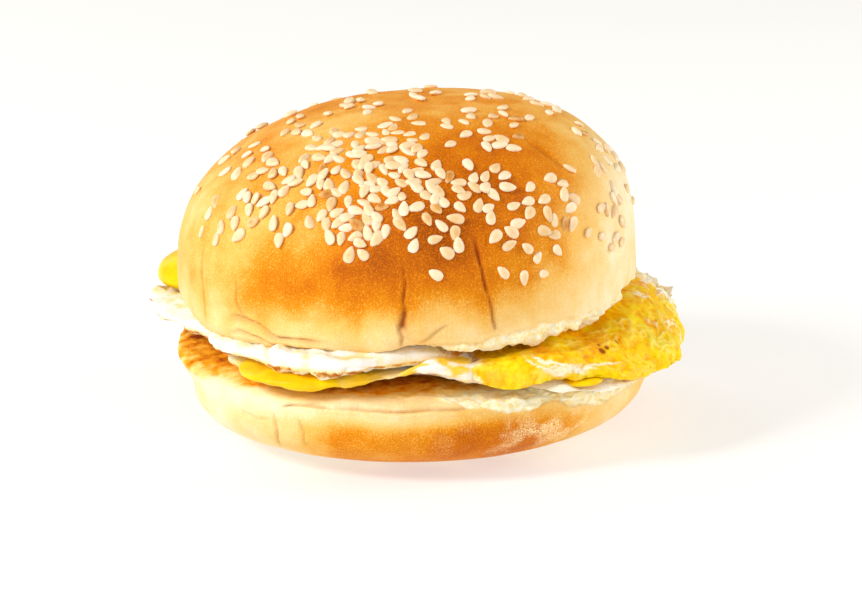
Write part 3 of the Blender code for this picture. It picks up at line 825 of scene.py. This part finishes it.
# superellipse of revolution with a sharper power above its widest ring, cut flat at the table; on the left
# its radius is less by a bell curve around times a soft band in height
def heelForm(around, above):
    out, up = superellipse(above, heel["lipPower"], heel["bellyPower"])
    height = heel["widest"] + up * np.where(above > 0, heel["height"] - heel["widest"], heel["belly"])
    a = np.radians(around)
    tuck = heel["tuck"]
    level = band(*tuck["foot"], *tuck["lip"], height)
    drawnIn = tuck["depth"] * hump(turn(around, tuck["around"]), tuck["spread"]) * level
    radius = (heel["radius"] + 0.6 * np.cos(2 * a + 0.5) + 0.4 * np.cos(3 * a - 1.0) - drawnIn) * out
    height = np.broadcast_to(np.maximum(height, 0.0), radius.shape)
    return np.stack((radius * np.cos(a), radius * np.sin(a), height), axis=-1)


def makeHeel(material):
    print("heel")
    around = closerColumns(heel["columns"], heel["closerAt"], *heel["closer"])[None, :]

    def profile(above):
        out, up = superellipse(above, heel["lipPower"], heel["bellyPower"])
        return out * heel["radius"], up * np.where(up > 0, heel["height"] - heel["widest"], heel["belly"])

    def weight(out, up):
        hidden = (out < 36) & (up > 0) | (out < 26) & (up < 0)
        return np.where(hidden, 0.12, 1.0 + (out > 42))

    above = evenRows(profile, heel["rows"], weight)[:, None]
    points = heelForm(around, above)
    normal = gridNormals(points)
    height = points[..., 2]
    reach = np.hypot(points[..., 0], points[..., 1])
    degrees = np.broadcast_to(around, height.shape)
    side = ease(39.0, 46.0, reach)

    carved, crease = carveCreases(heelCreases, points, degrees, heel)
    relief = roughness(points, 20.0, 71, 2) * heel["unevenness"] + roughness(points, 5.0, 75, 3) * 0.12 + carved
    relief, crease = relief * side, crease * side

    wrapped = np.where(degrees < -84, degrees + 360, degrees)
    edge = np.interp(wrapped, *np.array(heelCrumbEdge, float).T) + 0.7 * roughness(points, 4.0, 81, 3)
    torn = ease(-0.15, 0.15, height - edge) * ease(42.5, 45.0, reach) * ((degrees > -88) & (degrees < 168))
    # torn crumb lies in flat layers
    layered = points * np.array([0.35, 0.35, 1.5])
    relief += torn * (np.abs(roughness(layered, 1.5, 91, 3)) * 1.1 - 0.45 + roughness(points, 5.0, 92, 2) * 0.3)
    relief += hump(height - edge + 0.45, 0.4) * ease(46, 48, reach) * 0.3 * (edge < 17)
    # the toasted face ends in a ragged line, darker a little way inside it and palest at the line; the darkening
    # inside, and at the left end, is partly toasting and partly painted shade under the eggs
    inside = reach - np.interp(degrees, *np.array(heelToastEdge, float).T) - 1.2 * roughness(points, 6.0, 95, 3)
    toast = ease(15.2, 16.6, height) * (1 - ease(-1.2, 1.2, inside))
    relief += toast * roughness(points, 2.2, 97, 3) * 0.22
    scorchAndShade = 0.13 * (1 - ease(-9.0, -2.0, inside)) - 0.14 * ease(-3.5, 0.5, inside)
    scorchAndShade += 0.13 * hump(turn(degrees, 170), 18) * (1 - ease(-11, -4, inside))

    bake = 0.40 + 0.11 * roughness(points, 12.0, 101, 3)
    for middle, spread, low, high, amount in heelBrowning:
        bake += amount * hump(turn(degrees, middle), spread) * (1 - ease(low, high, height))
    bake -= 0.36 * hump(turn(degrees, -150), 34) + 0.26 * hump(turn(degrees, -32), 15)
    bake -= 0.20 * ease(11.5, 15.0, height) * hump(turn(degrees, -100), 40)
    bake += 0.08 * (1 - ease(0.5, 4.0, height)) * ease(36, 42, reach) * hump(turn(degrees, -75), 40)
    bake = bake * (0.35 + 0.65 * ease(26.0, 40.0, reach + 2 * roughness(points, 8.0, 103, 2)))
    lip = ease(15.8, 16.6, height) * band(-124, -114, -74, -66, degrees)
    bake = bake * (1 - lip) + 0.12 * lip
    flour = hump(turn(degrees, -54), 19) * hump(height - 9.5, 4.2)
    flour = flour * ease(-0.3, 0.4, roughness(points, 3.4, 109, 3))

    points = points + normal * relief[..., None]
    points[..., 2] = np.where(height <= 0.0, 0.0, np.maximum(points[..., 2], 0.05))
    ends = np.array([0.0, 0.0, 0.0]), np.array([0.0, 0.0, heel["height"]])
    attributes = {"bake": bake, "crumb": torn * (1 - toast), "toast": toast, "crease": crease * (1 - torn)}
    piece = closedGrid("heel_bread", points, *ends, material, {**attributes, "flour": flour, "scorchAndShade": scorchAndShade})
    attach(piece, "root")
    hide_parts("bottom_bun")


# The eggs

# Radii are the outline at equal angles around; "reach" is how far the upper egg's edge goes in the picture
upperEgg = {
    "centre": (-8.0, 2.0),
    "radii": (34, 36, 40, 44, 46, 49, 48, 39.5, 48, 50, 36, 33),
    "reach": (34, 36, 40, 44, 46, 49, 48, 39.5, 48, 50.5, 46, 38),
    "edgePower": 5.5,
    "frill": 0.7,
    "across": 46.0,
    "thick": 3.1,
    "columns": 400,
    "rows": 150,
}
lowerEgg = {
    "centre": (8.0, -2.0),
    "radii": (50.3, 54.0, 50.5, 47, 45, 43, 42, 50, 50.5, 45.5, 47.5, 52),
    "edgePower": 3.4,
    "frill": 0.6,
    "underYolk": 2.3,
    "meeting": 23.7,
    "slope": 0.045,
    "droop": 2.8,
    "droopFrom": 49.5,
    "droopTo": 59.0,
    "across": 49.0,
    "thick": 3.4,
    "columns": 420,
    "rows": 150,
}
cave = {"x": 1.0, "y": -47.0, "wide": 8.5, "deep": 15.0, "rise": 4.2}
brokenYolk = {
    "fold": 9.5,
    "centre": (33.0, -6.0),
    "edgePower": 2.4,
    "frill": 0.35,
    "across": 30.0,
    "thick": 3.0,
    "columns": 420,
    "rows": 190,
}
wholeYolk = {
    "x": -45.0, "y": 19.0, "long": 10.2, "wide": 10.2, "low": 23.2, "widest": 26.5, "high": 32.4,
    "power": 0.9, "oval": 0.03, "ripple": 0.15, "octaves": 2, "seed": 151, "columns": 120, "rows": 60,
}
yolkLobe = {
    "x": -19.5, "y": -36.5, "long": 14.5, "wide": 11.2, "low": 18.75, "widest": 20.75, "high": 22.75,
    "power": 0.8, "oval": 0.0, "ripple": 0.5, "octaves": 3, "seed": 161, "columns": 160, "rows": 60,
}
yolkBead = {
    "x": 34.3, "y": -38.2, "long": 5.0, "wide": 4.2, "low": 18.6, "widest": 19.4, "high": 20.2,
    "power": 0.8, "oval": 0.0, "ripple": 0.15, "octaves": 3, "seed": 161, "columns": 80, "rows": 30,
}

# ruffles at the back right: angles from and to, share of the egg's reach, half height, seed
frills = {
    "ribbons": ((-4, 22, 0.9, 1.5, 251), (10, 36, 0.95, 1.8, 271), (24, 56, 0.9, 2.0, 291)),
    "sections": 90,
    "sides": 24,
}

# threads of white on the broken yolk: where each starts, its height there, its fall, its end and its strength
whiteThreads = (
    (22.0, 25.9, 0.44, 33.0, 1.0),
    (23.5, 25.9, 0.34, 36.0, 1.0),
    (24.5, 24.3, 0.22, 37.0, 0.9),
    (27.0, 23.0, 0.12, 41.0, 0.9),
    (31.0, 22.4, 0.02, 46.0, 0.8),
)

# browned spots on it: place, size and strength
brownSpots = ((39.2, -34.8, 0.8, 1.3), (40.2, -33.4, 0.6, 1.1), (38.6, -33.2, 0.4, 1.0), (42.4, -30.6, 0.5, 1.0))


# the plane where the two eggs meet, which rises to the right
def eggMeeting(x):
    return lowerEgg["meeting"] + lowerEgg["slope"] * x


# 0 at the upper egg's centre, 1 at its edge
def upperShare(x, y):
    dx, dy = x - upperEgg["centre"][0], y - upperEgg["centre"][1]
    return np.hypot(dx, dy) / outline(upperEgg["radii"], np.degrees(np.arctan2(dy, dx)))


# how far an edge that nothing carries hangs down
def edgeDroop(x, y):
    return lowerEgg["droop"] * ease(lowerEgg["droopFrom"], lowerEgg["droopTo"], np.hypot(x, y))


# the lower egg's top: it meets the upper egg, and rises to the crown where there is none
def lowerTop(x, y):
    covered = eggMeeting(x) - gap / 2
    bare = crownSeat(x, y) - gap
    return covered + (bare - covered) * ease(1.04, 1.2, upperShare(x, y)) - edgeDroop(x, y)


# the lower egg's underside: it lies on the heel, and arches over a hollow at the front
def lowerBottom(x, y):
    rise = cave["rise"] * hump(x - cave["x"], cave["wide"]) * (1 - ease(cave["y"], cave["y"] + cave["deep"], y))
    return heel["height"] + gap + rise - edgeDroop(x, y)


# a slab with a rounded edge between two surfaces: out is the cosine of the height angle and
# up is the root of one less out to the edge's power
def slabForm(centre, radius, around, above, power, bottom, top, widest=0.5):
    out = np.abs(np.cos(np.radians(above)))
    up = np.sign(above) * (1 - np.minimum(out, 1.0) ** power) ** (1 / power)
    a = np.radians(around)
    x = centre[0] + radius * out * np.cos(a)
    y = centre[1] + radius * out * np.sin(a)
    low, high = bottom(x, y), top(x, y)
    middle = low + (high - low) * widest
    z = middle + up * np.where(up > 0, high - middle, middle - low)
    return np.stack((x, y, z), axis=-1), np.broadcast_to(up, z.shape), np.broadcast_to(out, z.shape)


# height angles for a slab, few of them on its hidden middle
def slabRows(egg):
    def profile(above):
        out = np.abs(np.cos(np.radians(above)))
        up = np.sign(above) * (1 - np.minimum(out, 1.0) ** egg["edgePower"]) ** (1 / egg["edgePower"])
        return out * egg["across"], up * egg["thick"]

    return evenRows(profile, egg["rows"], lambda out, up: np.where(out < 0.66 * egg["across"], 0.12, 1.0))[:, None]


def slabEnds(centre, bottom, top):
    x, y = np.array(centre[0]), np.array(centre[1])
    return np.array([x, y, bottom(x, y)]), np.array([x, y, top(x, y)])


# a whole or a flattened yolk: an ellipsoid with the cosine and sine of its height angle raised to a power
def makeYolk(yolk, name, node, material):
    around = anglesAround(yolk["columns"])
    above = np.linspace(-90.0, 90.0, yolk["rows"] + 2)[1:-1, None]
    a = np.radians(around)
    out = np.abs(np.cos(np.radians(above))) ** yolk["power"] * (1 + yolk["oval"] * np.cos(2 * a))
    up = signedPower(np.sin(np.radians(above)), yolk["power"])
    z = yolk["widest"] + up * np.where(up > 0, yolk["high"] - yolk["widest"], yolk["widest"] - yolk["low"])
    x = yolk["x"] + yolk["long"] * out * np.cos(a)
    y = yolk["y"] + yolk["wide"] * out * np.sin(a)
    points = np.stack((x, y, z + 0 * a), axis=-1)
    ripple = roughness(points, 5.0, yolk["seed"], yolk["octaves"]) * yolk["ripple"]
    points = points + gridNormals(points) * ripple[..., None]
    ends = [np.array([yolk["x"], yolk["y"], yolk[key]]) for key in ("low", "high")]
    piece = closedGrid(name, points, *ends, material)
    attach(piece, "root")
    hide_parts(node)


# distance from a yolk's middle as a share of its size: 1 at its outline
def yolkShare(points, yolk):
    return np.hypot((points[..., 0] - yolk["x"]) / yolk["long"], (points[..., 1] - yolk["y"]) / yolk["wide"])


def makeUpperEgg(white, yolk):
    print("upper egg")
    around, above = anglesAround(upperEgg["columns"]), slabRows(upperEgg)
    ruffle = frill(around, upperEgg["frill"]) + 0.5 * roughness(ring(around, upperEgg["across"]), 5.0, 121, 3)
    radius = outline(upperEgg["reach"], around) + ruffle * np.cos(np.radians(above))

    def bottom(x, y):
        return eggMeeting(x) + gap / 2

    def top(x, y):
        return crownSeat(x, y) - gap

    points, up, out = slabForm(upperEgg["centre"], radius, around, above, upperEgg["edgePower"], bottom, top)
    normal = gridNormals(points)
    rim = ease(0.72, 0.9, out)
    degrees = np.broadcast_to(around, up.shape)
    # the front sets in curds 2 to 4 mm across
    curds = rim * (0.45 + 0.55 * ease(-124, -108, degrees)) * band(-162, -150, -92, -78, degrees)
    bubbles = np.abs(lumps(points, 4.2, 133)) + 0.45 * np.abs(lumps(points, 2.0, 134))
    relief = rim * (roughness(points, 8.0, 131, 2) * 0.6 + roughness(points, 2.6, 135, 3) * 0.2)
    relief += curds * (1.5 * bubbles - 0.45 + 0.5 * np.abs(lumps(points, 1.3, 136)))
    # the yolk sits in a hollow of its own
    toYolk = np.hypot(points[..., 0] - wholeYolk["x"], points[..., 1] - wholeYolk["y"])
    hollow = (1 - ease(wholeYolk["long"] - 1.5, wholeYolk["long"] + 0.6, toYolk)) * np.maximum(up, 0.0)
    points = points + normal * relief[..., None]
    points[..., 2] -= 2.4 * hollow
    patchy = roughness(points, 3.0, 141, 3)
    thin = band(-78, -66, -40, -20, degrees) * rim
    brownAndShade = rim * 0.95 * hump(up + 0.42, 0.16) * ease(-0.8, 0.1, patchy)
    brownAndShade = np.maximum(brownAndShade, thin * (0.35 + 0.5 * ease(-0.4, 0.4, patchy)))
    stainAndShade = 0.7 * rim * hump(up - 0.85, 0.3) * ease(0.0, 0.5, patchy) + 0.5 * hump(toYolk - wholeYolk["long"], 2.0)
    stainAndShade = np.maximum(stainAndShade, 0.8 * rim * hump(up + 0.34, 0.22) * ease(-0.4, 0.3, -patchy))
    # painted shade: cream in the hollows between curds; and a fine browned line along some of them
    hollows = curds * (1 - ease(0.1, 0.4, bubbles)) * (up < 0.8)
    stainAndShade = np.maximum(stainAndShade, 0.8 * hollows)
    brownAndShade = np.maximum(brownAndShade, 0.8 * curds * (1 - ease(0.05, 0.16, bubbles)) * ease(0.0, 0.5, patchy))
    low, high = slabEnds(upperEgg["centre"], bottom, top)
    piece = closedGrid("upper_egg", points, low, high, white, {"brownAndShade": brownAndShade, "stainAndShade": stainAndShade, "smear": 0.0})
    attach(piece, "root")
    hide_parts("upper_egg_white")

    makeYolk(wholeYolk, "upper_yolk", "upper_egg_yolk", yolk)


# from the broken yolk's centre to the egg's outline or to the fold, whichever is nearer, with a soft corner
def brokenRadius(around):
    x, y = np.cos(np.radians(around)), np.sin(np.radians(around))
    dx = brokenYolk["centre"][0] - lowerEgg["centre"][0]
    dy = brokenYolk["centre"][1] - lowerEgg["centre"][1]
    reach = np.full_like(x, 30.0)
    for _ in range(12):
        px, py = dx + reach * x, dy + reach * y
        reach = reach + (outline(lowerEgg["radii"], np.degrees(np.arctan2(py, px))) - 0.3 - np.hypot(px, py)) * 0.8
    facing = np.minimum(x, -0.05)
    fold = (brokenYolk["fold"] - brokenYolk["centre"][0]) / facing
    return np.where(x > -0.05, reach, (reach**-24.0 + fold**-24.0) ** (-1 / 24))


def makeLowerEgg(white, yolk, fried):
    print("lower egg")
    around, above = anglesAround(lowerEgg["columns"]), slabRows(lowerEgg)
    ruffle = frill(around + math.degrees(1.0), lowerEgg["frill"])
    ruffle = ruffle + 0.45 * roughness(ring(around, lowerEgg["across"]), 4.0, 171, 3)
    radius = outline(lowerEgg["radii"], around) + ruffle * np.cos(np.radians(above))

    # thinner at the right, where the broken yolk lies on it
    def top(x, y):
        full = lowerTop(x, y)
        thin = lowerBottom(x, y) + lowerEgg["underYolk"]
        wander = 1.4 * np.sin(0.9 * y + 0.6)
        return full + (thin - full) * ease(13.0, 17.5, x + wander)

    points, up, out = slabForm(lowerEgg["centre"], radius, around, above, lowerEgg["edgePower"], lowerBottom, top)
    normal = gridNormals(points)
    rim = ease(0.75, 0.92, out)
    relief = rim * (roughness(points, 6.0, 181, 2) * 0.4 + roughness(points, 2.4, 185, 3) * 0.26)
    toLobe, toBead = yolkShare(points, yolkLobe), yolkShare(points, yolkBead)
    # flaky layers near the fold
    flaky = rim * (points[..., 1] < -25) * band(-12, -4, 14, 18, points[..., 0])
    relief += flaky * 0.4 * roughness(points * np.array([0.45, 0.45, 1.5]), 1.8, 187, 3)
    points = points + normal * relief[..., None]
    # the white draws back where yolk lies in it, and under the fold
    inward = np.array([*lowerEgg["centre"], 0.0]) - points
    inward[..., 2] = 0.0
    inward /= np.maximum(np.linalg.norm(inward, axis=-1, keepdims=True), 1e-6)
    x, y = points[..., 0], points[..., 1]
    drawn = 3.0 * np.maximum(1 - ease(0.75, 1.08, toLobe), (1 - ease(0.7, 1.1, toBead)) * 0.5)
    drawn = np.maximum(drawn, 3.6 * hump(x - 20.0, 7.5) * ease(12.0, 17.0, x) * (y < -30))
    drawn = np.maximum(drawn, 3.0 * ease(40, 46, x) * (1 - ease(16, 30, y)))
    points += inward * (drawn * rim)[..., None]
    degrees = np.broadcast_to(around, up.shape)
    patchy = roughness(points, 3.0, 191, 3)
    left = hump(turn(degrees, -138), 14) * rim
    edges = 0.6 * hump(up + 0.85, 0.25) + 0.35 * hump(up - 0.8, 0.25) * (1 - 0.7 * ease(-4, 2, x))
    brownAndShade = rim * edges * ease(-0.4, 0.5, patchy)
    brownAndShade = brownAndShade * (1 - 0.9 * hump(turn(degrees, -48), 20)) + 0.2 * left
    reach = np.hypot(x, y)
    # painted shadow: a brown line on the top where the crown's rim lies over it, partly browning
    rimShadowLine = (1 - ease(41.6, 43.6, reach + 0.8 * patchy)) * ease(-2.0, 4.0, x) * (y < -25) * ease(0.1, 0.5, up)
    brownAndShade = np.maximum(brownAndShade, 0.9 * rimShadowLine)
    brownAndShade = np.maximum(brownAndShade, 0.3 * rim * hump(x - 22.0, 8.0) * (y < -30) * ease(-0.2, 0.4, patchy))
    left = np.maximum(left, hump(x - 22.0, 8.0) * rim * (y < -30))
    stainAndShade = np.clip(0.8 * hump(toLobe - 1.0, 0.3) + 0.45 * left + 0.35 * rim * ease(0.1, 0.6, patchy), 0, 1)
    # yolk has run along the front in streaks
    streaks = roughness(points * np.array([0.22, 0.22, 1.0]), 1.6, 195, 3)
    front = rim * (y < -30) * (1 - ease(10, 15, x))
    smear = front * hump(x + 9.0, 8.0) * ease(-0.8, 0.1, streaks + 1.2 * hump(x + 11.0, 5.0) - 0.4)
    across = roughness(points * np.array([0.25, 0.9, 1.0]), 1.5, 199, 3)
    smear = np.maximum(smear, 0.95 * front * ease(-5, 0, x) * ease(-0.1, 0.12, across))
    smear = np.maximum(smear, 0.4 * rim * ease(38, 46, x + 3 * streaks) * (1 - ease(24, 34, y)))
    folded = (y < -34) * band(0, 4, 12, 16, x) * ease(0.0, 0.4, up)
    smear = np.maximum(smear, 0.95 * folded * ease(0.0, 0.2, across))
    low, high = slabEnds(lowerEgg["centre"], lowerBottom, top)
    piece = closedGrid("lower_egg", points, low, high, white, {"brownAndShade": brownAndShade, "stainAndShade": stainAndShade, "smear": smear})
    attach(piece, "root")
    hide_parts("lower_egg_white")

    makeFrills(white)
    makeYolk(yolkLobe, "yolk_lobe", "lower_egg_yolk_lobe", yolk)
    makeYolk(yolkBead, "yolk_bead", "lower_egg_yolk_bead", yolk)
    makeBrokenYolk(fried)


# thin ruffles of white that stand up from the egg's edge at the back right: a flat ellipse carried along the outline
def makeFrills(white):
    print("frills")
    power = brokenYolk["edgePower"]
    for k, (start, end, share, tall, seed) in enumerate(frills["ribbons"]):
        along = np.linspace(0.0, 1.0, frills["sections"])[1:-1, None]
        turned = np.linspace(0, 2 * np.pi, frills["sides"], endpoint=False)[None, :]
        degrees = start + (end - start) * along
        a = np.radians(degrees)
        reach = share * outline(lowerEgg["radii"], degrees)
        line = ring(degrees, reach[..., None])
        sway = 1.6 * roughness(line, 3.0, seed, 3)
        swell = np.sqrt(np.sin(np.pi * along)) * np.clip(0.6 + 1.0 * lumps(line, 2.2, seed + 5), 0.08, 1.4)
        lift = swell * tall * np.sin(turned)
        lean = reach + sway * (0.3 + 0.7 * ease(-tall, tall, lift)) + 0.15 * swell * np.cos(turned) + 0.35 * lift
        x = lowerEgg["centre"][0] + lean * np.cos(a)
        y = lowerEgg["centre"][1] + lean * np.sin(a)
        # the yolk's rounded top at this share of its reach
        low, high = lowerBottom(x, y) + lowerEgg["underYolk"] + gap, lowerTop(x, y)
        level = low + (high - low) * (0.12 + 0.88 * (1 - share**power) ** (1 / power))
        points = np.stack((x, y, level + 0.4 + lift), axis=-1)
        points = points + (roughness(points, 1.5, seed + 9, 2) * 0.16)[..., None]
        patchy = roughness(points, 1.6, 241 + k, 3)
        attributes = {
            "brownAndShade": 0.1 * ease(0.1, 0.6, patchy),
            "stainAndShade": 0.25 * ease(-0.2, 0.6, patchy),
            "smear": 0.7 * (1 - ease(-0.7, 0.0, np.clip(lift / tall, -1, 1) + patchy)),
        }
        ends = points[0].mean(axis=0), points[-1].mean(axis=0)
        piece = closedGrid(f"egg_frill_{k + 1}", points, *ends, white, attributes)
        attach(piece, "root")
        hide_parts("lower_egg_white")


def makeBrokenYolk(fried):
    print("broken yolk")
    around, above = anglesAround(brokenYolk["columns"]), slabRows(brokenYolk)
    facing = np.cos(np.radians(around))
    ruffle = frill(around, brokenYolk["frill"]) + 0.6 * roughness(ring(around, 40.0), 3.6, 201, 3)
    radius = brokenRadius(around) + ruffle * np.cos(np.radians(above)) * ease(-0.1, 0.5, facing)

    def bottom(x, y):
        # it hangs over the white's edge at the front fold and at the right
        over = np.maximum(hump(x - 21.0, 6.0) * (1 - ease(-46, -38, y)), 0.3 * ease(42, 50, x))
        return lowerBottom(x, y) + (lowerEgg["underYolk"] + gap) * (1 - 0.75 * over)

    def top(x, y):
        return lowerTop(x, y) - 0.1

    # it is fuller where it lies against the white at the fold
    power = brokenYolk["edgePower"] + 6.0 * (1 - ease(-0.4, 0.1, facing))
    points = slabForm(brokenYolk["centre"], radius, around, above, power, bottom, top, widest=0.12)[0]
    normal = gridNormals(points)
    x, y, z = points[..., 0], points[..., 1], points[..., 2]
    reach, degrees = np.hypot(x, y), np.degrees(np.arctan2(y, x))
    # smooth at the front fold and under the crown
    bumpy = ease(44.0, 47.5, reach) * (1 - 0.85 * hump(x - 20.5, 6.5) * hump(y + 44.0, 7.0))
    # set in blisters: pits inside a net of ridges
    warp = np.stack([lumps(points, 2.4, 221 + k) for k in range(3)], axis=-1)
    pit, ridge = cellPattern(points + 1.3 * warp, 2.2, 217)
    net = hump(ridge, 0.4) * ease(-0.5, 0.4, roughness(points, 4.0, 225, 2))
    relief = 0.45 * roughness(points, 6.5, 211, 2) + 0.12 * roughness(points, 1.2, 215, 2)
    relief = bumpy * (relief + 0.36 * net - 0.34 * hump(pit, 0.6))
    # threads of white run down the front face to the right
    waver = roughness(points, 3.0, 231, 3)
    white = np.zeros_like(x)
    for start, level, fall, end, strength in whiteThreads:
        line = z - (level - fall * (x - start)) + 0.5 * waver
        along = band(start - 1, start + 3, end - 5, end, x) * (y < -28)
        white = np.maximum(white, strength * along * hump(line, 0.26))
    edgeWhite = ease(-1, 9, degrees + 3 * waver) * (1 - ease(70, 85, degrees)) * ease(46, 52, reach)
    white = np.maximum(white, edgeWhite * ease(-0.7, 0.2, waver))
    white = np.maximum(white, 0.85 * net * ease(40, 50, x) * ease(-32, -16, y) * ease(-0.4, 0.4, waver))
    slant = x - 31.5 + 1.6 * (z - 22.3)
    patch = np.exp(-((slant / 4.6) ** 2) - ((z - 22.2) / 1.5) ** 2) * (y < -30)
    white = np.maximum(white, patch * ease(-0.75, 0.1, waver))
    # painted shade: amber in the pits and under the crown
    covered = 1 - ease(49.0, 56.0, reach - 4.0 * hump(degrees + 5, 40))
    deep = 0.7 * hump(pit, 0.7) + covered * ease(-0.6, 0.5, waver)
    seam = hump(x - 13.0, 2.6) * (y < -20)
    white = np.maximum(white, 0.8 * seam * ease(-0.3, 0.3, waver))
    # brown under the crown's rim: some real mottling, and painted shade of the gap line
    mottledAndShade = band(-78, -72, -56, -46, degrees) * ease(22.5, 24.0, z)
    brownAndShade = 0.62 * mottledAndShade * (1 - ease(45.0, 47.5, reach + 1.2 * waver))
    for spotX, spotY, size, amount in brownSpots:
        brownAndShade = np.maximum(brownAndShade, amount * hump(np.hypot(x - spotX, y - spotY), size))
    # its left end sinks into the white
    relief -= 1.5 * (1 - ease(10.0, 15.5, x + 1.2 * waver)) * (y < -20)
    points = points + normal * relief[..., None]
    ends = slabEnds(brokenYolk["centre"], bottom, top)
    attributes = {"white": np.clip(white, 0, 1), "brownAndShade": brownAndShade, "net": net * bumpy, "deep": deep}
    piece = closedGrid("broken_yolk", points, *ends, fried, attributes)
    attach(piece, "root")
    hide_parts("lower_egg_broken_yolk")


# Stage, light and camera


# "glow" is the light under the table and "room" the light from all around; lamps are round soft boxes, each with its
# place and size in metres and its power in watts
studio = {
    "table": "#bab9b7",
    "tableHalfWidth": 3.0,
    "glowColour": "#f6f6f4",
    "glow": 0.59,
    "roomColour": "#fff8ee",
    "room": 0.5,
    "lamps": (
        ("left key", (-0.71, -0.42, 0.62), 0.3, 7.2),
        ("right side", (0.88, 0.12, 0.34), 0.5, 4.0),
        ("left back", (-0.7, 0.65, 0.5), 0.6, 2.0),
        ("front fill", (0.05, -1.1, 0.14), 0.7, 2.4),
    ),
}


def makeStage():
    print("stage")
    # opal acrylic table with a faint light under it, which keeps the shadows pale
    values = {"Roughness": 0.9, "Specular IOR Level": 0.1, "Base Color": colour(studio["table"])}
    values.update({"Emission Color": colour(studio["glowColour"]), "Emission Strength": studio["glow"]})
    material = newMaterial("opal acrylic", values)[0]
    corners = np.array([[-1, -1, 0], [1, -1, 0], [1, 1, 0], [-1, 1, 0]]) * studio["tableHalfWidth"]
    floor = newPiece("floor", corners, (np.array([[0, 1, 2, 3]]),), material)
    world = bpy.data.worlds.new("white room")
    bpy.context.scene.world = world
    world.use_nodes = True
    world.node_tree.nodes["Background"].inputs["Color"].default_value = colour(studio["roomColour"])
    world.node_tree.nodes["Background"].inputs["Strength"].default_value = studio["room"]
    for name, place, size, power in studio["lamps"]:
        light = bpy.data.lights.new(name, "AREA")
        light.shape = "DISK"
        light.size = size
        light.energy = power
        lamp = bpy.data.objects.new(name, light)
        lamp.location = place
        lamp.rotation_euler = (Vector((0, 0, 0.03)) - Vector(place)).to_track_quat("-Z", "Y").to_euler()
        bpy.context.scene.collection.objects.link(lamp)
    bpy.context.scene.view_settings.view_transform = "Standard"


# The photograph's angle, with the framing as a distance, a point looked at and a focal length
view = {"elevation": 15.0, "distance": 550.0, "target": (4.9, 0.0, 25.5), "lens": 107.33, "sensor": 36.0}


def makeCamera():
    lift = math.radians(view["elevation"])
    ahead = Vector((0, math.cos(lift), -math.sin(lift)))
    upward = Vector((0, math.sin(lift), math.cos(lift)))
    turned = Matrix((Vector((1, 0, 0)), upward, -ahead)).transposed().to_4x4()
    turned.translation = (Vector(view["target"]) - ahead * view["distance"]) * mm
    lens = bpy.data.cameras.new("camera")
    lens.lens = view["lens"]
    lens.sensor_width = view["sensor"]
    camera = bpy.data.objects.new("camera", lens)
    camera.matrix_world = turned
    bpy.context.scene.collection.objects.link(camera)
    bpy.context.scene.camera = camera


crust = bakedCrust()
eggWhite = friedWhite()
eggYolk = setYolk()
makeCrown(crust)
makeSeeds(hulledSesame())
makeHeel(crust)
makeUpperEgg(eggWhite, eggYolk)
makeLowerEgg(eggWhite, eggYolk, friedYolk())
makeStage()
makeCamera()
